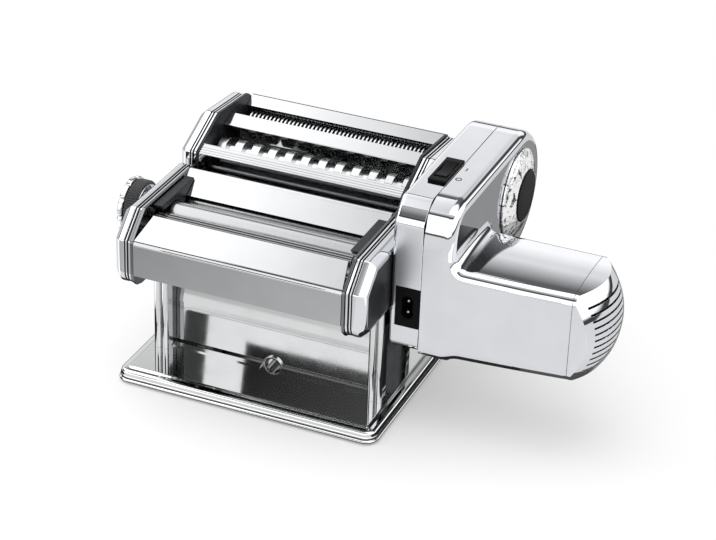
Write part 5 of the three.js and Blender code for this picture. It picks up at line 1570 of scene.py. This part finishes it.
@dataclass
class CutterHead:
    """Lift-off cutter attachment with a wide and a narrow roller pair."""

    half: float = 77.2
    sheet_wall: float = 1.0
    shaft: float = 3.5
    wide: RingSet = RingSet(11, 6.6, 13, 0.5, 11, 3.1, 72)
    narrow: RingSet = RingSet(10.4, 7.2, 3.08, 0.3, 46, 0.67, 56)
    axes: dict[str, Pair] = field(default_factory=lambda: {
        "wide_front": (32.8, 135.5), "wide_rear": (50.8, 135.5),
        "narrow_front": (77.5, 138.5), "narrow_rear": (95.5, 138.5),
    })
    corners: Outline = (
        (18.5, 110, 4), (101, 110, 8), (111, 124, 8), (111, 153, 4), (101, 160.5, 4), (54, 164.5, 8),
        (18.5, 148, 4),
    )
    hood_start: Line = ((19, 131),)
    hood_end: Line = ((27.4, 150.4), (28.2, 150.2), (33.5, 147.8))
    slope_from: Pair = (19, 147)
    slope_run: Pair = (8, 3.6)
    ribs: int = 4
    rib_height: float = 0.8
    guide_corners: Outline = (
        (64.5, 141.5, 0.3), (66.5, 141.5, 0.3), (73.3, 156.7, 0.2), (60.6, 153.35, 0.6), (59.6, 152.9, 0.5),
    )
    back_line: Line = ((98.9, 151.9), (107.4, 156.95), (108.6, 157.2), (109.5, 156.4), (109.5, 133.4))
    left_end: float = -85.4
    right_end: float = 81.5
    hub_end: float = 93.3
    wheel_end: float = -81.2
    wheel_radius: float = 9.0
    teeth: int = 10
    tooth_tip: float = 1.45
    tooth_root: float = 1.95
    hub_line: Line = ((80.9, 6.2), (93.2, 6.2), (93.5, 5.9))
    hub_hole: float = 6.6
    socket: float = 4.2
    socket_break: float = 0.2
    socket_lines: Triple = (93.5, 93.2, 85.8)
    comb_wall: float = 1.6
    comb_bar: float = 4
    comb_end: float = 3
    comb_gap: float = 0.5
    rod_half: float = 77.5
    rod_radius: float = 3
    rod_place: Pair = (65, 116)

    def sheet(self, name: str, node: str, section: np.ndarray) -> None:
        """A section drawn between the side plates."""
        part = Part("cutter_head", "chromed_steel", FINISHES.sheet, (node,))
        drawn(name, part, section, -self.half, self.half, Edges(0.15, 2, sharp=40))

    def sheets(self) -> None:
        """Hood whose ribs are the peaks of a cosine along its slope, middle guide and back plate."""
        share = np.linspace(0, 1, 61)
        slope = np.array(self.slope_from) + share[:, None] * np.array(self.slope_run)
        peaks = np.clip(np.cos(share * TURN * self.ribs), 0, 1) ** 2
        slope[:, 1] += peaks * np.clip(share * 12, 0, 1) * self.rib_height
        hood = np.concatenate([self.hood_start, slope, self.hood_end])
        self.sheet("ribbed_hood", "cutter_hood", sheet_section(hood, -self.sheet_wall))
        self.sheet("middle_guide", "cutter_guide", rounded(self.guide_corners, 5))
        back = softened(self.back_line, 0.8, 4)
        self.sheet("back_table", "cutter_back_plate", sheet_section(back, -self.sheet_wall))

    def roller(self, key: str, rings: RingSet, second: bool) -> None:
        """A roller with its end wheel and, on the driven one, a socketed hub.

        Args:
            key: Name of the roller and of its body.
            rings: Sizes of its kind.
            second: Whether it is the second of its pair.
        """
        part = Part(key, "bare_steel", FINISHES.cutter, (key.replace("_", "_cutter_"),))
        high = self.hub_end if second else self.right_end
        profile = rings.profile(second, self.left_end, high, self.shaft)
        turned(f"{key}_discs", part, Axis.X, self.axes[key], profile, rings.count, Edges(sharp=35))
        self.wheel(key, second)
        if second:
            self.hub(key)

    def wheel(self, key: str, second: bool) -> None:
        """Toothed end wheel: the radius swings between root and tip along a flattened wave.

        Args:
            key: Name of the roller.
            second: Whether its teeth are half a tooth on.
        """
        angle = np.arange(200) * TURN / 200
        phase = TURN / (2 * self.teeth) if second else 0
        wave = np.clip(1.7 * np.cos(self.teeth * (angle - phase)), -1, 1)
        radius = self.wheel_radius + np.where(wave > 0, self.tooth_tip, self.tooth_root) * wave
        ring = spokes(200) * radius[:, None] + np.array(self.axes[key])
        part = Part(key, "bare_steel", FINISHES.shaft)
        drawn(f"{key}_wheel", part, ring, self.left_end, self.wheel_end, Edges(0.2, 2, sharp=50))

    def hub(self, key: str) -> None:
        """Hub with a six-sided socket, open at its outer face.

        The socket's radius at an angle is its corner radius times cos 30 over the cosine of the angle
        from the middle of the nearest side.

        Args:
            key: Name of the roller.
        """
        angle = np.arange(72) * TURN / 72
        from_side = (angle + math.pi / 6) % (math.pi / 3) - math.pi / 6
        socket = self.socket * math.cos(math.pi / 6) / np.cos(from_side)
        rings = [circle((0, 0), radius, 72) for _, radius in self.hub_line]
        rings += [spokes(72) * (socket + wider)[:, None] for wider in (self.socket_break, 0, 0)]
        along = np.array([x for x, _ in self.hub_line] + list(self.socket_lines))[:, None]
        placed = Axis.X.lay(np.stack(rings) + np.array(self.axes[key]), along)
        lofted(f"{key}_hub", Part(key, "bare_steel", FINISHES.shaft), placed, Edges(sharp=35))

    def comb(self, kind: str, rings: RingSet) -> None:
        """Comb of pointed fingers under each roller of a pair, joined by two end bars.

        Args:
            kind: Wide or narrow, as in the names.
            rings: Sizes of the rollers above it.
        """
        front, rear = self.axes[f"{kind}_front"], self.axes[f"{kind}_rear"]
        bar_top = front[1] - rings.tip - self.comb_gap
        bar_low = bar_top - self.comb_bar
        tip = front[1] - rings.root - self.comb_gap
        patch = Patchwork()
        for centre, second in ((front, False), (rear, True)):
            places = rings.places(not second)
            places = places[np.abs(places) < self.half - 4]
            xs = (places[:, None] + np.array([-rings.finger, 0, rings.finger])).ravel()
            zs = np.tile([bar_top, tip, bar_top], len(places))
            top = np.concatenate([[(-self.half, bar_top)], np.stack([xs, zs], -1), [(self.half, bar_top)]])
            low = np.stack([top[:, 0], np.full(len(top), bar_low)], -1)
            near, far = centre[0] - self.comb_wall / 2, centre[0] + self.comb_wall / 2
            loop = np.empty((4, len(top), 3))
            for row, line, y in zip(loop, (top, top, low, low), (near, far, far, near)):
                row[:, 0], row[:, 1], row[:, 2] = line[:, 0], y, line[:, 1]
            numbers = patch.add(loop)
            patch.quads(np.concatenate([numbers, numbers[:1]]), wrap=False)
            patch.faces.extend([numbers[:, 0].tolist(), numbers[:, -1].tolist()])
        bar = np.array([(front[0], bar_low), (rear[0], bar_low), (rear[0], bar_top), (front[0], bar_top)])
        for side in (-1, 1):
            ends = np.array([self.half - self.comb_end, self.half]) * side
            patch.loft(Axis.X.lay(bar[None], ends[:, None]))
        name = f"{kind}_comb_fingers"
        part = Part("cutter_head", "nylon", FINISHES.nylon, (f"{kind}_comb",))
        part.place(name, patch.mesh(name, 1e-7), Edges(sharp=30))

    def build(self) -> None:
        """Makes the cutter attachment's pieces."""
        holes = [(*self.axes[key], self.hub_hole) for key in ("wide_rear", "narrow_rear")]
        EndCover().build("cutter_left_cover", "cutter_head", "cutter_cover_left", -1, self.corners, [])
        EndCover().build("cutter_right_cover", "cutter_head", "cutter_cover_right", 1, self.corners, holes)
        plate = Part("cutter_head", "bare_steel", FINISHES.fence)
        for end in ("left", "right"):
            softened_copy(f"cutter_plate_{end}", plate, 0.3)
        self.sheets()
        rod = Part("cutter_head", "bare_steel", FINISHES.shaft, ("cutter_tie_rod",))
        line = rod_line(self.rod_half, self.rod_radius)
        turned("cutter_rod_round", rod, Axis.X, self.rod_place, line, 40)
        sets = {"wide": self.wide, "narrow": self.narrow}
        for kind, rings in sets.items():
            self.roller(f"{kind}_front", rings, False)
            self.roller(f"{kind}_rear", rings, True)
        for kind, rings in sets.items():
            self.comb(kind, rings)


# ---- motor unit


def between(values: np.ndarray, span: Pair) -> np.ndarray:
    """Whether each value lies inside a span."""
    return (values > span[0]) & (values < span[1])


def rounded_and(first: np.ndarray, second: np.ndarray, radius: float) -> np.ndarray:
    """Distance to the common part of two bodies whose shared edge is rounded outside."""
    both = np.hypot(np.maximum(first + radius, 0), np.maximum(second + radius, 0))
    return np.minimum(np.maximum(first, second), -radius) + both


def rounded_or(first: np.ndarray, second: np.ndarray, radius: float) -> np.ndarray:
    """Distance to two joined bodies whose inner corner is a hollow fillet."""
    both = np.hypot(np.maximum(radius - first, 0), np.maximum(radius - second, 0))
    return np.maximum(np.minimum(first, second), radius) - both


def rounded_polygon(y: np.ndarray, z: np.ndarray, corners: Line, radius: float) -> np.ndarray:
    """Distance to a polygon with rounded corners: the shrunk polygon's distance less the radius."""
    shrunk = inset([(*corner, 0) for corner in corners], radius)[:, :2]
    return polygon_distance(y, z, shrunk) - radius


def polygon_distance(y: np.ndarray, z: np.ndarray, corners: np.ndarray) -> np.ndarray:
    """Signed distance to a polygon: the nearest side's distance, negative inside by crossing count.

    Args:
        y: Places along Y.
        z: Places along Z.
        corners: Corners in order round the polygon.

    Returns:
        The distances.
    """
    place = np.stack([y, z], -1)
    nearest = np.full(y.shape, np.inf)
    inside = np.zeros(y.shape, bool)
    for start, end in zip(corners, np.roll(corners, -1, 0)):
        side = end - start
        offset = place - start
        share = np.clip((offset @ side) / (side @ side), 0, 1)
        nearest = np.minimum(nearest, np.linalg.norm(offset - share[..., None] * side, axis=-1))
        crosses = (start[1] > z) != (end[1] > z)
        reach = start[0] + (z - start[1]) * side[0] / (side[1] if side[1] else 1)
        inside ^= crosses & (y < reach)
    return np.where(inside, -nearest, nearest)


@dataclass
class SurfaceNet:
    """Turns a distance function into a mesh whose points lie on its zero surface."""

    low: Triple
    high: Triple
    step: float
    rounds: int = 5
    small: float = 0.02

    def build(self, distance: Callable[[np.ndarray], np.ndarray]) -> Patchwork:
        """One point for each cell that the surface passes, one face for each grid edge that it cuts.

        The points then move along the distance's slope until they lie on the surface. Points of the
        first and last layer along X lie exactly on the low and high planes.

        Args:
            distance: Signed distance of an array of points (..., 3).

        Returns:
            The open or closed surface.
        """
        counts = [int(round((h - l) / self.step)) for l, h in zip(self.low, self.high)]
        lines = [np.linspace(l, h, n + 1) for l, h, n in zip(self.low, self.high, counts)]
        inside = distance(np.stack(np.meshgrid(*lines, indexing="ij"), -1)) < 0
        corner = sum(
            inside[i:i + counts[0], j:j + counts[1], k:k + counts[2]].astype(np.int8)
            for i in (0, 1) for j in (0, 1) for k in (0, 1)
        )
        mixed = (corner > 0) & (corner < 8)
        numbers = np.full(mixed.shape, -1)
        numbers[mixed] = np.arange(mixed.sum())
        cell = np.argwhere(mixed)
        points = np.stack([lines[a][cell[:, a]] + self.pace(lines[a]) / 2 for a in range(3)], -1)
        fixed = np.ones((len(points), 3))
        for row, plane in ((0, self.low[0]), (counts[0] - 1, self.high[0])):
            layer = cell[:, 0] == row
            points[layer, 0] = plane
            fixed[layer, 0] = 0
        for _ in range(self.rounds):
            gap = distance(points)
            slope = self.slope(distance, points) * fixed
            points -= slope * (gap / np.maximum((slope ** 2).sum(-1), 0.05))[:, None]
        patch = Patchwork()
        patch.add(points)
        for axis in range(3):
            patch.faces.extend(self.faces(inside, numbers, axis))
        return patch

    @staticmethod
    def pace(line: np.ndarray) -> float:
        """Distance between neighbours of an even line."""
        return float(line[1] - line[0])

    def slope(self, distance: Callable[[np.ndarray], np.ndarray], points: np.ndarray) -> np.ndarray:
        """Slope of the distance by central differences.

        Args:
            distance: Signed distance of an array of points.
            points: Where the slope is wanted.

        Returns:
            The slope along X, Y and Z.
        """
        moves = self.small * np.eye(3)
        both = [distance(points + move) - distance(points - move) for move in moves]
        return np.stack(both, -1) / (2 * self.small)

    @staticmethod
    def faces(inside: np.ndarray, numbers: np.ndarray, axis: int) -> list[list[int]]:
        """Faces across the grid edges along one axis where the sign changes.

        Args:
            inside: Whether each grid point is inside.
            numbers: Number of each cell's point, or -1.
            axis: 0, 1 or 2 for X, Y or Z.

        Returns:
            The faces as point numbers.
        """
        signs = np.moveaxis(inside, axis, 0)
        cells = np.moveaxis(numbers, axis, 0)
        change = signs[1:, 1:-1, 1:-1] != signs[:-1, 1:-1, 1:-1]
        quads = np.stack([
            cells[:, :-1, :-1], cells[:, 1:, :-1], cells[:, 1:, 1:], cells[:, :-1, 1:],
        ], -1)[change]
        return quads[(quads >= 0).all(-1)].tolist()


@dataclass
class Motor:
    """Plated motor unit: left shell, body with barrel, domed end cap, medallion, inlet and switch.

    Shell rows are X and inset from the case's outline. The other lines are rows of length along the
    axis and radius. Openings and spans give the low and the high end of a range.
    """

    seam: float = 116
    right: float = 137.5
    barrel_end: float = 221
    cap_end: float = 245
    front: float = -36
    bottom: float = 62
    top: float = 173.49
    heel: Pair = (42, 8)
    tail: Triple = (92, 81.5, 8)
    disc: Pair = (97, 127.5)
    disc_radius: float = 46
    chamfer: float = 13.5
    bulge: float = 0.6
    bulge_corner: float = 55
    brow: float = 11
    top_edge: float = 8
    crown: float = 2.2
    crown_fade: Pair = (100, 120)
    corner: float = 7
    edge: float = 7
    cove: float = 8
    wall: float = 2.5
    barrel_rear: float = 36
    barrel_top: float = 132.5
    barrel_rise: float = 4
    barrel_slant: float = 2
    barrel_corner: float = 7
    beyond: float = 60
    lower_front: float = -70
    lower_top: float = 150
    pad_middle: Triple = (127, -25, 64)
    pad_half: Triple = (8, 5, 2.5)
    pad_corner: float = 2.5
    pad_fillet: float = 1.5
    shell_rows: Line = (
        (94.3, 2.4), (94.4, 1.7), (94.8, 1.0), (95.4, 0.45), (96.1, 0.12), (96.9, 0), (98.0, 0),
        (103.3, 0), (109, 0), (114.7, 0), (115.6, 0), (115.75, 0.15),
    )
    inlet_from: float = 98
    inlet_span: Pair = (80.7, 111.3)
    switch_span: Pair = (103.3, 114.7)
    switch_depths: Pair = (3.4, 38.6)
    shaft_hole: float = 4.4
    pin_hole: float = 3.4
    seam_gap: float = 0.25
    net_low: Pair = (-42, 52)
    net_high: Pair = (150, 180)
    net_step: float = 1.15
    quick_step: float = 2.4
    vents: int = 11
    vent_pitch: float = 4.9
    vent_half: float = 0.75
    vent_span: Pair = (-28.5, 32.5)
    cap_gap: float = 0.3
    cap_land: float = 0.4
    cap_wall: float = 2.2
    dome_reach: float = 47.0
    dome_power: float = 2.3
    medallion_place: Pair = (92, 131)
    ring_line: Line = (
        (137.8, 19.3), (137.8, 33), (138.8, 33), (141.5, 28.5), (143.6, 22.6), (144.3, 20.3), (144.3, 19.3),
    )
    badge_line: Line = ((137.8, 0), (137.8, 19), (144.3, 19), (145.1, 18.2), (145.6, 12), (145.9, 0))
    contact_places: tuple[tuple[str, Pair], ...] = (("low", (107, 91.7)), ("high", (107, 100.3)))
    contact_line: Line = ((-34.6, 0.0), (-34.6, 0.8), (-34.1, 1.3), (-25.6, 1.3), (-25.6, 0.0))
    sign_span: Pair = (-0.05, 0.08)
    on_sign: Line = ((120.2, 27.8), (120.9, 27.8), (120.9, 32.2), (120.2, 32.2))
    off_place: Pair = (120.6, 14.0)
    off_radii: Pair = (1.6, 2.3)

    def case_corners(self) -> Outline:
        """Corners of the case's side outline, with the ends of the inlet and switch openings.

        Returns:
            Rows of Y, Z and radius.
        """
        f, b, t, half = self.front, self.bottom, self.top, self.chamfer / 2
        rear, arc = self.disc[0] + self.disc_radius, self.disc_radius - 0.1
        out = self.bulge * math.sqrt(0.5)
        return (
            (f, b, self.corner), (self.heel[0], b, self.heel[1]), self.tail,
            (rear, self.tail[1], arc), (rear, t, arc),
            (self.switch_depths[1], t, 0), (self.switch_depths[0], t, 0),
            (f + self.chamfer, t, self.top_edge), (f + half - out, t - half + out, self.bulge_corner),
            (f, t - self.chamfer, self.brow),
            (f, self.inlet_span[1], 0), (f, self.inlet_span[0], 0),
        )

    def left_shell(self) -> None:
        """Left shell: rounded outer edge, shaft and pin holes in its face, inlet and switch openings."""
        corners = self.case_corners()
        lines = [rounded(inset(corners, distance), 24) for _, distance in self.shell_rows]
        rings = np.stack([Axis.X.lay(line, np.array(x)) for (x, _), line in zip(self.shell_rows, lines)])
        patch = Patchwork()
        numbers = patch.add(rings)
        closed = np.concatenate([rings, rings[:, :1]], 1)
        x, y, z = np.moveaxis((closed[:-1, :-1] + closed[1:, 1:]) / 2, -1, 0)
        inlet = (x > self.inlet_from) & (y < self.front + 1) & between(z, self.inlet_span)
        switch = between(x, self.switch_span) & (z > self.top - 1) & between(y, self.switch_depths)
        patch.quads(numbers, keep=~(inlet | switch))
        holes = [circle(DRIVE_AXIS, self.shaft_hole, 32)]
        holes += [circle(centre, self.pin_hole, 32) for centre in MOTOR_PINS.values()]
        patch.holed(Axis.X, lines[0], self.shell_rows[0][0], holes)
        part = Part("motor", "chromed_plastic", FINISHES.case, ("motor_left_shell",))
        part.place("motor_left_case", patch, Edges(wall=self.wall, sharp=40))

    def along_barrel(self, x: np.ndarray) -> np.ndarray:
        """Share of the barrel's length that lies to the left of a place."""
        return np.clip((x - self.right) / (self.barrel_end - self.right), 0, 1)

    def barrel_distance(self, x: np.ndarray, y: np.ndarray, z: np.ndarray) -> np.ndarray:
        """Distance to the barrel's rounded box section, whose bottom rises along its length.

        Args:
            x: Places along X.
            y: Places along Y.
            z: Places along Z.

        Returns:
            The distances.
        """
        low = self.bottom + self.barrel_rise * self.along_barrel(x)
        front, r = self.lower_front, self.barrel_corner
        half_y = (self.barrel_rear - front) / 2 - r
        half_z = (self.barrel_top - low) / 2 - r
        dy = np.abs(y - (self.barrel_rear + front) / 2) - half_y
        dz = np.abs(z + self.crowned(y, z) - (self.barrel_top + low) / 2) - half_z
        outside = np.hypot(np.maximum(dy, 0), np.maximum(dz, 0))
        return outside + np.minimum(np.maximum(dy, dz), 0) - r

    def crowned(self, y: np.ndarray, z: np.ndarray) -> np.ndarray:
        """Drop of the barrel's crowned top: the crown times the square of the share of its half depth.

        Args:
            y: Places along Y.
            z: Places along Z.

        Returns:
            The drop at each place.
        """
        half = (self.barrel_rear - self.front) / 2
        share = (y - self.barrel_rear + half) / half
        low, high = self.crown_fade
        return self.crown * np.minimum(share ** 2, 1.5) * np.clip((z - low) / (high - low), 0, 1)

    def case_distance(self, x: np.ndarray, y: np.ndarray, z: np.ndarray) -> np.ndarray:
        """Distance to the case: its side outline with a bulged slope at the top, cut off at the right.

        Args:
            x: Places along X.
            y: Places along Y.
            z: Places along Z.

        Returns:
            The distances.
        """
        f, b, high, r = self.front, self.bottom, self.top + self.beyond, self.corner
        tail_y, tail_z, _ = self.tail
        rear = self.disc[0] + r
        outline = ((f, b), (self.heel[0], b), (tail_y, tail_z), (rear, tail_z), (rear, high), (f, high))
        disc = np.hypot(y - self.disc[0], z - self.disc[1]) - self.disc_radius
        from_y, from_z = y - f - self.chamfer / 2, z - self.top + self.chamfer / 2
        chord = self.chamfer / math.sqrt(2)
        along = np.minimum(((from_y + from_z) * math.sqrt(0.5) / chord) ** 2, 4)
        slope = (from_z - from_y) * math.sqrt(0.5) - self.bulge * (1 - along)
        browed = rounded_and(rounded_polygon(y, z, outline, r), slope, self.brow)
        side = np.minimum(rounded_and(browed, z - self.top, self.top_edge), disc)
        return rounded_and(side, x - self.right, self.edge)

    def body_distance(self, points: np.ndarray) -> np.ndarray:
        """Distance to the motor body.

        The lower part of the case and the barrel are joined by a hollow fillet, and a plane with a
        rounded edge gives them one common front that slants back along the barrel. A small pad
        stands at the bottom.

        Args:
            points: Array whose last side holds X, Y and Z.

        Returns:
            The distances.
        """
        x, y, z = points[..., 0], points[..., 1], points[..., 2]
        f, b, high = self.lower_front, self.bottom, self.lower_top
        tail_y, tail_z, _ = self.tail
        rear = self.disc[0]
        low = ((f, b), (self.heel[0], b), (tail_y, tail_z), (rear, tail_z), (rear, high), (f, high))
        lower = rounded_and(rounded_polygon(y, z, low, self.corner), x - self.right, self.edge)
        joined = rounded_or(lower, self.barrel_distance(x, y, z), self.cove)
        slant = self.barrel_slant * self.along_barrel(x) ** 2
        fronted = rounded_and(joined, self.front + slant - y, self.edge)
        whole = np.minimum(self.case_distance(x, y, z), fronted)
        offset = np.abs(points - np.array(self.pad_middle)) - np.array(self.pad_half)
        pad = np.sqrt((np.maximum(offset, 0) ** 2).sum(-1)) - self.pad_corner
        return rounded_or(whole, pad, self.pad_fillet)

    def body(self) -> None:
        """The body as one surface from the seam to the barrel's end."""
        low, high = (self.seam + self.seam_gap, *self.net_low), (self.barrel_end, *self.net_high)
        net = SurfaceNet(low, high, self.net_step)
        patch = net.build(self.body_distance)
        part = Part("motor", "chromed_plastic", FINISHES.case, ("motor_body",))
        part.place("motor_case", patch, Edges(wall=self.wall, sharp=40, flat=False))

    def cap(self) -> None:
        """End cap: the barrel's outline carried on, cut by a round dome, with slits through the dome.

        Its rows are level lines across the outline, at the edges and middles of slits and bars and
        close together in the rounded corners. The dome's height over the seam is
        height * (1 - (distance from the middle / reach) ** power).
        """
        seam = self.barrel_end + self.cap_gap
        r, low_y, high_y = self.barrel_corner, self.front + self.barrel_slant, self.barrel_rear
        low_z, high_z = self.bottom + self.barrel_rise, self.barrel_top
        middle_y, middle_z = (low_y + high_y) / 2, (low_z + high_z) / 2
        slits = middle_z + (np.arange(self.vents) - (self.vents - 1) / 2) * self.vent_pitch
        corner = r * (1 - np.cos(np.linspace(0, TURN / 4, 9)))
        offsets = np.array([0, self.vent_half, self.vent_pitch / 2])
        marks = np.concatenate([slits + offsets[:, None], slits - offsets[:, None]]).ravel()
        levels = np.unique(np.round(np.concatenate([low_z + corner, high_z - corner, marks]), 4))
        levels = levels[(levels >= low_z) & (levels <= high_z)]
        past = np.maximum(np.maximum(low_z + r - levels, levels - high_z + r), 0)
        bow = np.sqrt(np.maximum(r * r - past ** 2, 0))
        columns = np.linspace(0, 1, 61)
        y = (low_y + r - bow)[:, None] * (1 - columns) + (high_y - r + bow)[:, None] * columns
        z = np.broadcast_to(levels[:, None], y.shape)
        away = np.hypot(y - middle_y, z - middle_z)
        x = seam + (self.cap_end - seam) * (1 - (away / self.dome_reach) ** self.dome_power)
        patch = Patchwork()
        numbers = patch.add(np.stack([np.maximum(x, seam + self.cap_land), y, z - self.crowned(y, z)], -1))
        mid_z = (levels[:-1, None] + levels[1:, None]) / 2
        mid_y = (y[:-1, :-1] + y[1:, 1:]) / 2
        in_slit = np.abs(mid_z - slits).min(-1) < self.vent_half
        patch.quads(numbers, wrap=False, keep=~(in_slit[:, None] & between(mid_y, self.vent_span)))
        ring = np.concatenate([numbers[0, :-1], numbers[:-1, -1], numbers[-1, :0:-1], numbers[:0:-1, 0]])
        rim = np.concatenate(patch.points)[ring]
        rim[:, 0] = seam
        patch.quads(np.stack([ring, patch.add(rim)]))
        part = Part("motor", "chromed_plastic", FINISHES.case, ("motor_end_cap",))
        part.place("motor_cap", patch, Edges(0.35, 2, self.cap_wall, 33, False))

    def medallion(self) -> None:
        """Hammered ring with a black lens-shaped badge, which stays bare."""
        ring = softened(self.ring_line, 0.6, 4)
        closed = np.concatenate([ring, ring[:1]])
        part = Part("motor", "chromed_plastic", FINISHES.hammered, ("medallion_ring",))
        turned("hammered_medallion", part, Axis.X, self.medallion_place, closed, 128, Edges(sharp=50))
        badge = softened(self.badge_line, 0.5, 4)
        part = Part("motor", "black_plastic", FINISHES.gloss_black, ("medallion_badge",))
        turned("bare_badge", part, Axis.X, self.medallion_place, badge, 96, Edges(sharp=50))

    def inlet(self) -> None:
        """Two-pin inlet: its moulding and two bright pins, turned about Y."""
        softened_copy("inlet_socket", Part("motor", "black_plastic", FINISHES.gloss_black), 0.35)
        part = Part("motor", "bare_steel", FINISHES.roller)
        rows = np.array(self.contact_line)
        for where, (x, z) in self.contact_places:
            flat = rows[:, 1:, None] * spokes(24) + np.array([x, z])
            ring = np.empty((*flat.shape[:2], 3))
            ring[..., 0], ring[..., 1], ring[..., 2] = flat[..., 0], rows[:, :1], flat[..., 1]
            lofted(f"inlet_pin_{where}", part, ring, Edges(sharp=50), (False, False))

    def switch(self) -> None:
        """Switch: rounded bezel, rocker key and its generic on and off signs."""
        softened_copy("switch_bezel", Part("motor", "black_plastic", FINISHES.gloss_black), 0.5)
        softened_copy("switch_rocker", Part("rocker", "black_plastic", FINISHES.gloss_black), 0.5)
        part = Part("motor", "chromed_plastic", FINISHES.gloss_black)
        low, high = (self.top + step for step in self.sign_span)
        drawn("sign_on", part, np.array(self.on_sign), low, high, axis=Axis.Z)
        inner, outer = (circle(self.off_place, radius, 40) for radius in self.off_radii)
        rings = np.stack([inner, outer, outer, inner, inner])
        along = np.array([low, low, high, high, low])[:, None]
        lofted("sign_off", part, Axis.Z.lay(rings, along), ends=(False, False))

    def build(self) -> None:
        """Makes the motor's outer pieces."""
        self.left_shell()
        self.body()
        self.cap()
        self.medallion()
        self.inlet()
        self.switch()


@dataclass
class Mechanism:
    """Inner pieces whose solids stay as they are and get their finish."""

    finishes: dict[str, Finish] = field(default_factory=lambda: {
        "roller_front_wheel": FINISHES.nylon, "roller_drive_wheel": FINISHES.shaft,
        "roller_rear_wheel": FINISHES.nylon, "rear_carrier_left": FINISHES.satin,
        "rear_bush_right": FINISHES.nylon, "drive_pinion": FINISHES.shaft,
        "knob_shaft_cam": FINISHES.shaft, "output_shaft": FINISHES.shaft,
        "second_wheel_cluster": FINISHES.nylon, "first_wheel_cluster": FINISHES.nylon,
        "motor_armature": FINISHES.copper, "motor_stator": FINISHES.iron,
    })

    def build(self) -> None:
        """Puts a finish on each inner solid."""
        for node, finish in self.finishes.items():
            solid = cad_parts[node]
            solid.data.materials.clear()
            solid.data.materials.append(finish.material())
            log.info("%s keeps its solid", node)


def main() -> None:
    """Builds the studio and the machine."""
    logging.basicConfig(level=logging.INFO, format="%(name)s: %(message)s")
    Studio().build()
    for group in (BasePan(), Stand(), Head(), Knob(), CutterHead(), Motor(), Mechanism()):
        group.build()
    bpy.context.view_layer.update()


if __name__ == "__main__":
    main()
